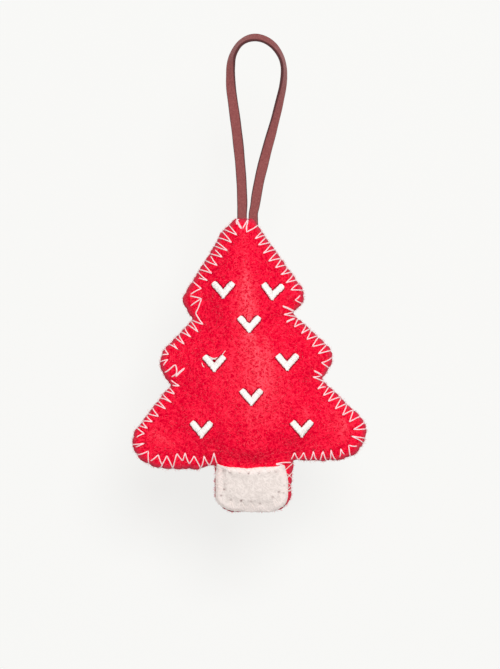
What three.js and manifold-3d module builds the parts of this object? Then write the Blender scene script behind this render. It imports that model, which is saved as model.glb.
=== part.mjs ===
// A stuffed felt tree ornament that hangs from a flat suede lace.
// Two felt trees of one outline are sewn together round a fibre filling with a zigzag of thread that
// goes over their cut edges. The lace's two ends are caught in the seam at the tip. A pale felt patch
// covers the trunk, and eight satin-stitched chevrons are worked on the front.
// Millimetres, +Z up, +Y to the back. The origin is where a hook carries the lace, inside its top.

import * as THREE from "three";
import { mergeVertices } from "three/addons/utils/BufferGeometryUtils.js";
import Module from "manifold-3d";

const wasm = await Module();
wasm.setup();

// Driving sizes
const tree_height = 117.4; // from the trunk's cut edge to the tip's
const tree_width = 93.2; // across the lowest branches
const felt_thickness = 2;
const seam_gap = 0.3; // between the two felts along the seam
const crown = 8.4; // how far the filling lifts each felt where it is fullest
const full_reach = 18; // smooth distance from the seam at which the felt is at full height
const seat_gap = 0.3; // between a sewn piece and what it lies on
const overrun = 5; // how far a cutting block goes past what it cuts

// The suede lace
const lace_width = 3.8;
const lace_thickness = 1.3;
const lace_corner = 0.3; // bevel along its edges
const loop_length = 71.3; // from the tip's cut edge to the lace's middle line at the top
const loop_width = 21.6; // between the middle lines of its two sides, at its widest
const leg_gap = 0.7; // between the two ends where they go into the seam
const tail_length = 9; // of each end inside the seam
const leg_straight = 4; // a leg rises straight for this far out of the seam
const lace_step = 3.6; // between two sections of the lace

// The thread over the cut edges
const thread_radius = 0.3;
const stitch_pitch = 3.75;
const stitch_inset = 4; // from the cut edge to the needle holes
const stitch_spread_share = 0.35; // of the pitch, from a front hole to where its thread meets the edge
const thread_step = 1.2; // between points of a thread that lies across the patch's edge

// The trunk's patch and its own thread
const patch_thickness = 1.2;
const patch_gap = 0.42; // behind the patch, which bends less than the felt under it
const patch_stitch_inset = 2.4; // from its upper edge to the needle holes
const patch_stitch_pitch = 3.8;
const patch_stitch_margin = 2.6; // from the patch's corners to the first and last of these stitches
const patch_thread_radius = 0.25;

// A chevron of satin stitch
const chevron_half_spread = 3.9; // from its middle to the middle of an arm's end
const chevron_drop = 4.6; // from an arm's end down to its point
const chevron_band = 2.5; // width of an arm
const chevron_rise = 0.8; // of the thread over the felt

const half_width = tree_width / 2;

// The outline's corners from the tip down: x as a share of the half width, height as a share of the
// tree's height, corner radius as a share of the tree's width, for the left and the right side.
// Each corner also has a hub inside the tree, from which the felt's grid lines go out to it: its step
// aside from the tree's middle line, its height, and the height where the middle line is reached.
const outline_corner_shares = {
  tip: { left: [-0.129, 1, 0.03], right: [0.077, 0.996, 0.021], hub: [0.01, 0.9, 0.885] },
  shoulder: { left: [-0.245, 0.956, 0.086], right: [0.112, 0.956, 0.086], hub: [0.03, 0.875, 0.86] },
  top_branch: { left: [-0.61, 0.715, 0.094], right: [0.506, 0.729, 0.06], hub: [0.28, 0.735, 0.75] },
  top_notch: { left: [-0.486, 0.656, 0.013], right: [0.371, 0.676, 0.013], hub: [0.2, 0.66, 0.685] },
  middle_branch: { left: [-0.816, 0.525, 0.086], right: [0.752, 0.535, 0.086], hub: [0.52, 0.535, 0.56] },
  low_notch: { left: [-0.687, 0.429, 0.013], right: [0.624, 0.45, 0.013], hub: [0.41, 0.445, 0.48] },
  low_branch: { left: [-1.013, 0.266, 0.08], right: [1.017, 0.298, 0.08], hub: [0.75, 0.32, 0.39] },
  branch_end: { left: [-1.004, 0.191, 0.11], right: [0.966, 0.22, 0.1], hub: [0.71, 0.295, 0.35] },
  heel: { left: [-0.863, 0.143, 0.11], right: [0.837, 0.174, 0.1], hub: [0.64, 0.27, 0.32] },
  sole: { left: [-0.425, 0.142, 0.1], right: [0.605, 0.174, 0.1], hub: [0.42, 0.25, 0.29] },
  root: { left: [-0.296, 0.165, 0.011], right: [0.373, 0.1755, 0.011], hub: [0.2, 0.24, 0.25] },
  foot: { left: [-0.3, 0, 0.064], right: [0.378, 0, 0.086], hub: [0.17, 0.075, 0.07] },
};
// How many points round each corner, and how many lie on the straight edge above it
const corner_counts = {
  tip: [3, 1],
  shoulder: [2, 0],
  top_branch: [5, 3],
  top_notch: [3, 0],
  middle_branch: [5, 2],
  low_notch: [3, 0],
  low_branch: [4, 3],
  branch_end: [3, 0],
  heel: [3, 0],
  sole: [2, 1],
  root: [3, 1],
  foot: [5, 3],
};
const top_hub_shares = [0, 0.91, 0.9];
const foot_hub_shares = [0, 0.07, 0.06];

// The patch's corners, in the same shares. Its upper edge dips a little in the middle.
const patch_corner_shares = [
  [-0.276, 0.161, 0.009],
  [0.004, 0.1515, 0.25],
  [0.318, 0.1625, 0.017],
  [0.338, 0.006, 0.077],
  [-0.292, 0.006, 0.069],
];
const patch_corner_counts = [2, 5, 3, 6, 6];

// The point of each chevron's middle line, as shares of the half width and the height, and its tilt.
const chevron_place_shares = {
  chevron_top_left: [-0.227, 0.741, 0],
  chevron_top_right: [0.202, 0.74, -5],
  chevron_upper_middle: [0.002, 0.627, 0],
  chevron_middle_left: [-0.306, 0.493, 0],
  chevron_middle_right: [0.324, 0.496, 0],
  chevron_lower_middle: [0.013, 0.376, 0],
  chevron_bottom_left: [-0.411, 0.264, 0],
  chevron_bottom_right: [0.439, 0.267, 0],
};

// The lace's middle line over the top of the loop: x as a share of loop_width from the hook, height as
// a share of loop_length above the seam, and how far its face has turned outwards there, in degrees.
const lace_route_shares = [
  [-0.241, 0.167, 3],
  [-0.269, 0.301, 7],
  [-0.315, 0.436, 12],
  [-0.37, 0.571, 22],
  [-0.43, 0.705, 38],
  [-0.448, 0.795, 52],
  [-0.45, 0.851, 57],
  [-0.42, 0.902, 59],
  [-0.361, 0.944, 61],
  [-0.272, 0.972, 62],
  [-0.157, 0.99, 63],
  [0, 1, 64],
  [0.157, 0.991, 66],
  [0.269, 0.975, 68],
  [0.389, 0.946, 70],
  [0.478, 0.907, 73],
  [0.532, 0.862, 75],
  [0.55, 0.795, 76],
  [0.519, 0.705, 72],
  [0.472, 0.638, 66],
  [0.413, 0.571, 59],
  [0.352, 0.503, 52],
  [0.291, 0.436, 43],
  [0.23, 0.369, 34],
  [0.172, 0.301, 26],
  [0.119, 0.234, 18],
  [0.067, 0.167, 12],
];
const lace_turn_degrees = 64; // on the hook, as at the top of the route
const tree_axis_share = -0.083; // the tree's middle is this share of loop_width from the hook
const mouth_share = -0.016; // the lace's ends are this share of the half width from the tree's middle

// The panels' rings, from the cut edge in
const rim_ring_inset = 1.2;
const inner_ring_share = 0.5; // of the way from the hubs to the middle line
const patch_ring_shares = [0, 0.12, 0.36, 0.66, 1];
const mouth_margin = 0.4; // beside the lace's ends, where the felts stand apart at full height
const mouth_fade = 3; // over which they close again to each side
const mouth_depth = 6; // and downwards

// Where the parts stand, from the hook
const hook_turn = THREE.MathUtils.degToRad(lace_turn_degrees);
const hook_to_lace = (lace_width * Math.cos(hook_turn) + lace_thickness * Math.sin(hook_turn)) / 2;
const mouth_z = hook_to_lace - loop_length;
const tree_foot_z = mouth_z - seat_gap - lace_thickness / 2 - tree_height;
const tree_axis_x = tree_axis_share * loop_width;
const mouth_x = mouth_share * half_width; // in the tree's own frame
const leg_offset = (lace_width + leg_gap) / 2;

// Flat outlines, as points of x and height

const point = (x, z) => new THREE.Vector2(x, z);
const from_shares = ([x_share, z_share]) => point(x_share * half_width, z_share * tree_height);

// The arc that rounds a corner, as count points. A radius too large for its edges is limited by them.
const arc_room_share = 0.48;
function rounded_corner(before, corner, after, radius, count) {
  const back = before.clone().sub(corner);
  const ahead = after.clone().sub(corner);
  const half_angle = back.angleTo(ahead) / 2;
  const room = arc_room_share * Math.min(back.length(), ahead.length());
  const tangent = Math.min(radius / Math.tan(half_angle), room);
  const arc_radius = tangent * Math.tan(half_angle);
  const bisector = back.clone().normalize().add(ahead.clone().normalize()).normalize();
  const centre = corner.clone().addScaledVector(bisector, arc_radius / Math.sin(half_angle));
  const start = corner.clone().addScaledVector(back.clone().normalize(), tangent).sub(centre);
  const end = corner.clone().addScaledVector(ahead.clone().normalize(), tangent).sub(centre);
  const sweep = Math.atan2(start.cross(end), start.dot(end));
  return Array.from({ length: count }, (_, k) =>
    start.clone().rotateAround(point(0, 0), (sweep * k) / (count - 1)).add(centre),
  );
}

// The points that divide the way from a to b into equal pieces
const between = (a, b, piece_count) =>
  Array.from({ length: piece_count }, (_, k) => a.clone().lerp(b, k / piece_count)).slice(1);

const corner_names = Object.keys(outline_corner_shares);
const corner_on = (side) => (name) => from_shares(outline_corner_shares[name][side]);
const middle_of = (name) => corner_on("left")(name).lerp(corner_on("right")(name), 0.5);
const top_middle = middle_of(corner_names[0]);
const foot_middle = middle_of(corner_names[corner_names.length - 1]);

// One side of the tree, from the middle of the tip down to the middle of the trunk's end, with the
// number of the point that lies at the middle of each corner.
function outline_side(side) {
  const corners = [top_middle, ...corner_names.map(corner_on(side)), foot_middle];
  const points = [top_middle.clone()];
  const middles = {};
  corner_names.forEach((name, k) => {
    const radius = outline_corner_shares[name][side][2] * tree_width;
    const [round_count, straight_count] = corner_counts[name];
    const arc = rounded_corner(corners[k], corners[k + 1], corners[k + 2], radius, round_count);
    points.push(...between(points[points.length - 1], arc[0], straight_count + 1));
    middles[name] = points.length + Math.floor(round_count / 2);
    points.push(...arc);
  });
  points.push(foot_middle.clone());
  return { points, middles };
}

const left_side = outline_side("left");
const right_side = outline_side("right");
const side_count = right_side.points.length - 1;

// The hub and the place on the middle line for each point of a side, the same on both sides but for
// the hub's turn to the left or the right.
const hub_stops = [
  { at: 0, shares: top_hub_shares },
  ...corner_names.map((name) => ({
    at: right_side.middles[name],
    shares: outline_corner_shares[name].hub,
  })),
  { at: side_count, shares: foot_hub_shares },
];
function hub_shares(index) {
  const k = hub_stops.findIndex(({ at }, j) => j > 0 && index <= at);
  const [above, below] = [hub_stops[k - 1], hub_stops[k]];
  const way = (index - above.at) / (below.at - above.at);
  return above.shares.map((share, j) => THREE.MathUtils.lerp(share, below.shares[j], way));
}
const on_middle_line = (height_share) =>
  point(THREE.MathUtils.lerp(foot_middle.x, top_middle.x, height_share), height_share * tree_height);

// The whole outline, clockwise seen from the front: down the right side and up the left.
const outline = [...right_side.points, ...left_side.points.slice(1, -1).reverse()];
const grid_lines = outline.map((_, k) => {
  const on_right = k <= side_count;
  const [aside, height, middle_height] = hub_shares(on_right ? k : 2 * side_count - k);
  const hub = on_middle_line(height);
  hub.x += (on_right ? aside : -aside) * half_width;
  return { hub, middle: on_middle_line(middle_height) };
});
const hubs = grid_lines.map(({ hub }) => hub);
const spine = grid_lines.map(({ middle }) => middle);

// The direction that points out of the felt at an outline point
function outward_at(k) {
  const before = outline[(k + outline.length - 1) % outline.length];
  const after = outline[(k + 1) % outline.length];
  return point(before.y - after.y, after.x - before.x).normalize();
}

// The outline moved in towards the hubs, by a distance measured square to the edge
const most_of_way_share = 0.6;
const least_cosine_share = 0.5;
const inset_ring = (inset) =>
  outline.map((p, k) => {
    const way = hubs[k].clone().sub(p);
    const cosine = Math.max(least_cosine_share, -way.clone().normalize().dot(outward_at(k)));
    return p.clone().addScaledVector(way, Math.min(inset / cosine / way.length(), most_of_way_share));
  });

// The felt's shape

// A smooth distance from a point to the seam: the edge's length, weighed by one over the distance
// cubed, summed exactly over each straight piece. It equals the plain distance close to the edge and
// has no creases further in.
const least_distance = 0.001;
function seam_distance(p) {
  let sum = 0;
  outline.forEach((a, k) => {
    const b = outline[(k + 1) % outline.length];
    const length = a.distanceTo(b);
    const along = ((p.x - a.x) * (b.x - a.x) + (p.y - a.y) * (b.y - a.y)) / length;
    const across = Math.abs((p.x - a.x) * (b.y - a.y) - (p.y - a.y) * (b.x - a.x)) / length;
    const off = Math.max(across, least_distance);
    sum += ((length - along) / Math.hypot(length - along, off) + along / Math.hypot(along, off)) / off ** 2;
  });
  return Math.sqrt(2 / sum);
}

// The felts stand apart round the lace's ends and close again beside and below them.
const mouth_lift = lace_thickness / 2 + seat_gap - seam_gap / 2;
const mouth_half = leg_offset + lace_width / 2 + mouth_margin;
function lace_lift(p) {
  const aside = THREE.MathUtils.smoothstep((Math.abs(p.x - mouth_x) - mouth_half) / mouth_fade, 0, 1);
  const below = THREE.MathUtils.smoothstep((tree_height - p.y) / mouth_depth, 0, 1);
  return mouth_lift * (1 - aside) * (1 - below);
}

const swell = (p) => crown * (1 - (1 - Math.min(1, seam_distance(p) / full_reach)) ** 2);
const felt_inside = (p) => seam_gap / 2 + swell(p) + lace_lift(p);
const felt_outside = (p) => felt_inside(p) + felt_thickness;

// Solids

// Joins triangles, given as numbers of points, into one closed surface without flat leftovers.
const same_point = 0.002;
function closed_surface(points, triangles) {
  const loose = new THREE.BufferGeometry();
  loose.setAttribute("position", new THREE.Float32BufferAttribute(points.flatMap((p) => p.toArray()), 3));
  loose.setIndex(triangles.flat());
  const welded = mergeVertices(loose, same_point);
  const index = Array.from(welded.index.array);
  const kept = [];
  for (let k = 0; k < index.length; k += 3) {
    const [a, b, c] = index.slice(k, k + 3);
    if (a !== b && b !== c && c !== a) kept.push(a, b, c);
  }
  welded.setIndex(kept);
  return welded;
}

// A sheet between two surfaces, over rings of points that run in from its outline. near and far give
// how far its two faces are from the seam's middle; sign is -1 for the front and 1 for the back.
function sheet(rings, near, far, sign) {
  const count = rings[0].length;
  const ring_count = rings.length;
  const points = [far, near].flatMap((face) =>
    rings.flatMap((ring) => ring.map((p) => new THREE.Vector3(p.x, sign * face(p), p.y))),
  );
  const triangles = [];
  const quad = (a, b, c, d) => {
    triangles.push(sign < 0 ? [a, c, b] : [a, b, c]);
    triangles.push(sign < 0 ? [a, d, c] : [a, c, d]);
  };
  for (let k = 0; k < count; k++) {
    const next = (k + 1) % count;
    for (let r = 0; r < ring_count - 1; r++) {
      const outer = r * count;
      const inner = (ring_count + r) * count;
      quad(outer + k, outer + next, outer + count + next, outer + count + k);
      quad(inner + k, inner + count + k, inner + count + next, inner + next);
    }
    quad(k, ring_count * count + k, ring_count * count + next, next);
  }
  return closed_surface(points, triangles);
}

// A body of constant cross-section count, through rings of points, with flat ends.
function loft(rings) {
  const count = rings[0].length;
  const triangles = [];
  for (let r = 0; r < rings.length - 1; r++) {
    for (let k = 0; k < count; k++) {
      const a = r * count + k;
      const b = r * count + ((k + 1) % count);
      triangles.push([a, b, b + count], [a, b + count, a + count]);
    }
  }
  const end = (rings.length - 1) * count;
  for (let k = 1; k < count - 1; k++) {
    triangles.push([0, k + 1, k], [end, end + k, end + k + 1]);
  }
  return closed_surface(rings.flat(), triangles);
}

// A thread of four-sided section along a bent line. Its section is carried along without twisting.
const thread_side_count = 4;
function thread(line, radius) {
  const directions = line.map((p, k) => {
    const ahead = line[Math.min(k + 1, line.length - 1)].clone().sub(p).normalize();
    const behind = p.clone().sub(line[Math.max(k - 1, 0)]).normalize();
    return ahead.add(behind).normalize();
  });
  const across = new THREE.Vector3(0, 1, 0).cross(directions[0]).normalize();
  const rings = line.map((p, k) => {
    if (k) {
      const turn = new THREE.Quaternion().setFromUnitVectors(directions[k - 1], directions[k]);
      across.applyQuaternion(turn);
    }
    const up = directions[k].clone().cross(across);
    return Array.from({ length: thread_side_count }, (_, side) => {
      const angle = (2 * Math.PI * side) / thread_side_count;
      return p
        .clone()
        .addScaledVector(across, radius * Math.cos(angle))
        .addScaledVector(up, radius * Math.sin(angle));
    });
  });
  return loft(rings);
}

// The felt panels and the filling

const blend_rings = (from, to, share) => from.map((p, k) => p.clone().lerp(to[k], share));
const panel_rings = [
  outline,
  inset_ring(rim_ring_inset),
  inset_ring(stitch_inset),
  hubs,
  blend_rings(hubs, spine, inner_ring_share),
  spine,
];
const filling_rings = panel_rings.slice(2);
const panel = (sign) => sheet(panel_rings, felt_inside, felt_outside, sign);

function as_solid(geometry) {
  return new wasm.Manifold(
    new wasm.Mesh({
      numProp: 3,
      vertProperties: geometry.attributes.position.array,
      triVerts: new Uint32Array(geometry.index.array),
    }),
  );
}

function as_geometry(solid) {
  const mesh = solid.getMesh();
  const geometry = new THREE.BufferGeometry();
  geometry.setAttribute("position", new THREE.BufferAttribute(mesh.vertProperties, 3));
  geometry.setIndex(new THREE.BufferAttribute(mesh.triVerts, 1));
  return geometry;
}

// The filling keeps clear of the felts, stops short of the stitches and ends below the lace's ends.
function filling() {
  const face = (p) => felt_inside(p) - seat_gap;
  const body = sheet(filling_rings, (p) => -face(p), face, -1);
  const block_height = tail_length + overrun;
  const block = new THREE.BoxGeometry(tree_width, tree_width, block_height);
  block.deleteAttribute("normal");
  block.deleteAttribute("uv");
  block.translate(0, 0, tree_height - tail_length - seat_gap + block_height / 2);
  return as_geometry(as_solid(body).subtract(as_solid(mergeVertices(block))));
}

// The patch on the trunk

const patch_corners = patch_corner_shares.map(from_shares);
const patch_outline = patch_corners.flatMap((corner, k) =>
  rounded_corner(
    patch_corners[(k + patch_corners.length - 1) % patch_corners.length],
    corner,
    patch_corners[(k + 1) % patch_corners.length],
    patch_corner_shares[k][2] * tree_width,
    patch_corner_counts[k],
  ),
);
// Long straight edges get points between their ends, so that the patch can bend over the trunk.
const patch_edge_step = 4.5;
const patch_edge = patch_outline.flatMap((p, k) => {
  const next = patch_outline[(k + 1) % patch_outline.length];
  return [p, ...between(p, next, Math.ceil(p.distanceTo(next) / patch_edge_step))];
});
const patch_middle = new THREE.Box2().setFromPoints(patch_edge).getCenter(point(0, 0));
const patch_inside = (p) => felt_outside(p) + patch_gap;
const patch_outside = (p) => patch_inside(p) + patch_thickness;
const patch = () => {
  const ring_at = (share) => patch_edge.map((p) => p.clone().lerp(patch_middle, share));
  return sheet(patch_ring_shares.map(ring_at), patch_inside, patch_outside, -1);
};

// How far a point is outside the patch's outline, or less than nothing inside it.
function outside_patch(p) {
  let nearest = Infinity;
  let inside = false;
  patch_edge.forEach((a, k) => {
    const b = patch_edge[(k + 1) % patch_edge.length];
    const run = b.clone().sub(a);
    const t = THREE.MathUtils.clamp(p.clone().sub(a).dot(run) / run.lengthSq(), 0, 1);
    nearest = Math.min(nearest, a.clone().addScaledVector(run, t).distanceTo(p));
    if (a.y > p.y !== b.y > p.y && p.x < a.x + ((p.y - a.y) * run.x) / run.y) inside = !inside;
  });
  return inside ? -nearest : nearest;
}

// What a thread lies on, at the front and at the back
const patch_clearance = thread_step + seat_gap;
const front_face = (p) => (outside_patch(p) < patch_clearance ? patch_outside(p) : felt_outside(p));
const back_face = felt_outside;

// The point of a thread over a face: off the face by distance, square to it.
const slope_step = 0.2;
function over_face(p, face, sign, distance) {
  const slope = (step) => (face(p.clone().add(step)) - face(p.clone().sub(step))) / (2 * step.length());
  const slope_x = slope(point(slope_step, 0));
  const slope_z = slope(point(0, slope_step));
  const normal = new THREE.Vector3(-slope_x, sign, -slope_z).normalize();
  return new THREE.Vector3(p.x, sign * face(p), p.y).addScaledVector(normal, distance);
}

// The zigzag over the cut edges

// Lengths along the outline, and a place on it with the outward direction there
const travelled = [0];
outline.forEach((p, k) => travelled.push(travelled[k] + p.distanceTo(outline[(k + 1) % outline.length])));
const outline_length = travelled[outline.length];
function place_on_edge(distance) {
  const at = THREE.MathUtils.euclideanModulo(distance, outline_length);
  const k = travelled.findIndex((length) => length > at) - 1;
  const share = (at - travelled[k]) / (travelled[k + 1] - travelled[k]);
  const next = (k + 1) % outline.length;
  return {
    spot: outline[k].clone().lerp(outline[next], share),
    outward: outward_at(k).lerp(outward_at(next), share).normalize(),
  };
}

// The runs of stitches, between the notches, where a front needle hole always falls. The first starts
// right of the lace and the last ends left of it.
const notch_names = ["top_notch", "low_notch", "root"];
const at_corner = {
  right: (name) => travelled[right_side.middles[name]],
  left: (name) => travelled[2 * side_count - left_side.middles[name]],
};
const stitch_stops = [
  ...["shoulder", ...notch_names].map(at_corner.right),
  ...[...notch_names.toReversed(), "shoulder"].map(at_corner.left),
];
const front_holes = stitch_stops.slice(1).reduce(
  (holes, stop) => {
    const start = holes[holes.length - 1];
    const count = Math.round((stop - start) / stitch_pitch);
    const hole_at = (_, k) => THREE.MathUtils.lerp(start, stop, (k + 1) / count);
    return [...holes, ...Array.from({ length: count }, hole_at)];
  },
  [stitch_stops[0]],
);

const thread_seat = thread_radius + seat_gap;
const hole_place = (at) => {
  const { spot, outward } = place_on_edge(at);
  return spot.addScaledVector(outward, -stitch_inset);
};
function edge_point(at, face, sign) {
  const { spot, outward } = place_on_edge(at);
  const depth = face(spot) + thread_seat;
  spot.addScaledVector(outward, thread_seat);
  return new THREE.Vector3(spot.x, sign * depth, spot.y);
}
// The thread's way between a front hole and the edge: straight over the felt, and in short steps
// where it has to follow the patch.
function front_way(from, to) {
  const steps = between(from, to, Math.ceil(from.distanceTo(to) / thread_step));
  const over_patch = [from, ...steps, to].some((p) => outside_patch(p) < patch_clearance);
  return over_patch ? steps.map((p) => over_face(p, front_face, -1, thread_seat)) : [];
}

function edge_thread_line() {
  const line = [];
  front_holes.forEach((at, k) => {
    const hole = hole_place(at);
    const before = front_holes[k - 1];
    const after = front_holes[k + 1];
    if (before !== undefined) {
      const edge_at = THREE.MathUtils.lerp(at, before, stitch_spread_share);
      line.push(edge_point(edge_at, back_face, 1), edge_point(edge_at, front_face, -1));
      line.push(...front_way(place_on_edge(edge_at).spot, hole));
    }
    line.push(over_face(hole, front_face, -1, thread_seat));
    if (after !== undefined) {
      const edge_at = THREE.MathUtils.lerp(at, after, stitch_spread_share);
      line.push(...front_way(hole, place_on_edge(edge_at).spot));
      line.push(edge_point(edge_at, front_face, -1), edge_point(edge_at, back_face, 1));
      line.push(over_face(hole_place((at + after) / 2), back_face, 1, thread_seat));
    }
  });
  return line;
}

// The patch's own thread: a zigzag over its upper edge, from holes in the patch to the felt above it.
const patch_seat = patch_thread_radius + seat_gap;
const on_patch = (p) => over_face(p, patch_outside, -1, patch_seat);
const on_felt = (p) => over_face(p, felt_outside, -1, patch_seat);
function patch_top(x) {
  const crossings = patch_edge.flatMap((a, k) => {
    const b = patch_edge[(k + 1) % patch_edge.length];
    const crosses = a.x !== b.x && (a.x - x) * (b.x - x) <= 0;
    return crosses ? [THREE.MathUtils.mapLinear(x, a.x, b.x, a.y, b.y)] : [];
  });
  return point(x, Math.max(...crossings));
}

function patch_thread_line() {
  const box = new THREE.Box2().setFromPoints(patch_edge);
  const left = box.min.x + patch_stitch_margin;
  const right = box.max.x - patch_stitch_margin;
  const count = Math.round((right - left) / patch_stitch_pitch);
  const top_at = (stitch) => patch_top(THREE.MathUtils.lerp(left, right, stitch / count));
  const line = [];
  for (let k = 0; k <= count; k++) {
    if (k) {
      // Up to the edge, over it to the felt, and back.
      const turn = top_at(k - 1 / 2);
      line.push(on_patch(top_at(k - 3 / 4)));
      line.push(on_patch(turn.clone().setY(turn.y + patch_seat)));
      line.push(on_felt(turn.clone().setY(turn.y + patch_seat + patch_thread_radius)));
      line.push(on_patch(top_at(k - 1 / 4)));
    }
    const top = top_at(k);
    line.push(on_patch(top.setY(top.y - patch_stitch_inset)));
  }
  return line;
}

// A chevron: a rounded band of thread down one arm and up the other, mitred at its point.
const chevron_section_shares = [
  [-0.5, 0],
  [-0.4, 0.65],
  [0, 1],
  [0.4, 0.65],
  [0.5, 0],
];
function chevron([x_share, z_share, tilt]) {
  const place = from_shares([x_share, z_share]);
  const turn = THREE.MathUtils.degToRad(tilt);
  const left = point(-chevron_half_spread, chevron_drop);
  const right = point(chevron_half_spread, chevron_drop);
  const tip = point(0, 0);
  const stops = [left, left.clone().lerp(tip, 0.5), tip, tip.clone().lerp(right, 0.5), right];
  const rings = stops.map((p, k) => {
    const arm = k < 2 ? tip.clone().sub(left) : k > 2 ? right.clone().sub(tip) : point(1, 0);
    const across = point(arm.y, -arm.x).normalize();
    // At the point the band is cut square across both arms, so it is wider there.
    const mitre = k === 2 ? Math.hypot(chevron_half_spread, chevron_drop) / chevron_half_spread : 1;
    return chevron_section_shares.map(([side_share, rise_share]) => {
      const q = p.clone().addScaledVector(across, side_share * chevron_band * mitre);
      q.rotateAround(tip, turn).add(place);
      return over_face(q, felt_outside, -1, seat_gap + rise_share * chevron_rise);
    });
  });
  return loft(rings);
}

// The suede lace

// Middle line and turn of the lace from the left leg over the top to the right leg, in the loop's frame
const mouth_from_hook = tree_axis_x + mouth_x;
const leg_stop = (side, rise) => ({
  place: point(mouth_from_hook + side * leg_offset, mouth_z + rise),
  turn: 0,
});
const lace_stops = [
  leg_stop(-1, 0),
  leg_stop(-1, leg_straight),
  ...lace_route_shares.map(([x_share, z_share, turn]) => ({
    place: point(x_share * loop_width, mouth_z + z_share * loop_length),
    turn,
  })),
  leg_stop(1, leg_straight),
  leg_stop(1, 0),
];

// The lace's section: a flat bar with bevelled edges, as steps across its width and its thickness
const half_lace = lace_width / 2;
const half_thick = lace_thickness / 2;
const lace_section = [
  [half_lace, lace_corner - half_thick],
  [half_lace - lace_corner, -half_thick],
  [lace_corner - half_lace, -half_thick],
  [-half_lace, lace_corner - half_thick],
  [-half_lace, half_thick - lace_corner],
  [lace_corner - half_lace, half_thick],
  [half_lace - lace_corner, half_thick],
  [half_lace, half_thick - lace_corner],
];
// The round end of each leg, which turns over the felt's edge: depth as a share of half the thickness,
// and the thickness there as a share of the whole
const nose_shares = [
  [0.5, 0.866],
  [0.87, 0.493],
  [1, 0.12],
];
const stop_sample_count = 20;

function lace() {
  const curve = new THREE.CatmullRomCurve3(
    lace_stops.map(({ place }) => new THREE.Vector3(place.x, 0, place.y)),
    false,
    "centripetal",
  );
  const steps = Math.round(curve.getLength() / lace_step);
  const lengths = curve.getLengths((lace_stops.length - 1) * stop_sample_count);
  const stop_lengths = lace_stops.map((_, k) => lengths[k * stop_sample_count]);
  const turn_at = (length) => {
    const k = Math.max(1, stop_lengths.findIndex((stop) => stop >= length - least_distance));
    const share = (length - stop_lengths[k - 1]) / (stop_lengths[k] - stop_lengths[k - 1]);
    return THREE.MathUtils.lerp(lace_stops[k - 1].turn, lace_stops[k].turn, share);
  };
  const front = new THREE.Vector3(0, -1, 0);
  const ring = (place, along, turn, thick_share) => {
    // Outwards from the loop, in its plane; the lace's face turns from the front towards it.
    const outwards = front.clone().cross(along).normalize();
    const face = front.clone().multiplyScalar(Math.cos(turn)).addScaledVector(outwards, Math.sin(turn));
    const width = along.clone().cross(face).normalize();
    return lace_section.map(([across, thick]) =>
      place.clone().addScaledVector(width, across).addScaledVector(face, thick * thick_share),
    );
  };
  const rings = Array.from({ length: steps + 1 }, (_, k) => {
    const share = k / steps;
    const turn = THREE.MathUtils.degToRad(turn_at(share * curve.getLength()));
    return ring(curve.getPointAt(share), curve.getTangentAt(share), turn, 1);
  });
  const up = new THREE.Vector3(0, 0, 1);
  const down = new THREE.Vector3(0, 0, -1);
  const nose = (place, along) =>
    nose_shares.map(([depth, thick]) =>
      ring(place.clone().addScaledVector(down, depth * half_thick), along, 0, thick),
    );
  const first = curve.getPointAt(0);
  const final = curve.getPointAt(1);
  return loft([...nose(first, up).toReversed(), ...rings, ...nose(final, down)]);
}

const tail = () => {
  const bar = new THREE.BoxGeometry(lace_width, lace_thickness, tail_length);
  bar.translate(0, 0, tree_height - tail_length / 2);
  return bar;
};

// Colours and the assembly

const red_felt = { color: 0xd8122f, roughness: 0.95, metalness: 0 };
const pale_felt = { color: 0xe9ddd6, roughness: 0.95, metalness: 0 };
const white_thread = { color: 0xf6eae6, roughness: 0.6, metalness: 0 };
const brown_suede = { color: 0x7d3f3f, roughness: 0.9, metalness: 0 };
const white_fibre = { color: 0xf0f0ee, roughness: 1, metalness: 0 };

function part(name, geometry, look) {
  geometry.computeVertexNormals();
  const mesh = new THREE.Mesh(geometry, new THREE.MeshStandardMaterial(look));
  mesh.name = name;
  return mesh;
}

const tree = new THREE.Group();
tree.position.set(tree_axis_x, 0, tree_foot_z);
tree.add(part("front_felt", panel(-1), red_felt));
tree.add(part("back_felt", panel(1), red_felt));
tree.add(part("fibre_filling", filling(), white_fibre));
tree.add(part("trunk_patch", patch(), pale_felt));
tree.add(part("edge_thread", thread(edge_thread_line(), thread_radius), white_thread));
tree.add(part("patch_thread", thread(patch_thread_line(), patch_thread_radius), white_thread));
for (const [name, place] of Object.entries(chevron_place_shares)) {
  tree.add(part(name, chevron(place), white_thread));
}
for (const [name, side] of [
  ["lace_end_left", -1],
  ["lace_end_right", 1],
]) {
  const end = part(name, tail(), brown_suede);
  end.position.x = mouth_x + side * leg_offset;
  tree.add(end);
}

const loop = new THREE.Group();
loop.add(part("hanging_lace", lace(), brown_suede));

const ornament = new THREE.Group();
ornament.add(loop, tree);

export default ornament;
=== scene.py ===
# %% [markdown]
# # A stuffed felt tree on a suede lace
#
# The real ornament is two red felt trees, cut alike and sewn together round a fibre filling. This
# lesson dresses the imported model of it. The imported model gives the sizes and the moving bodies,
# and each cell below makes one piece or one finish around them.

# %% Load the frame
import math

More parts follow.
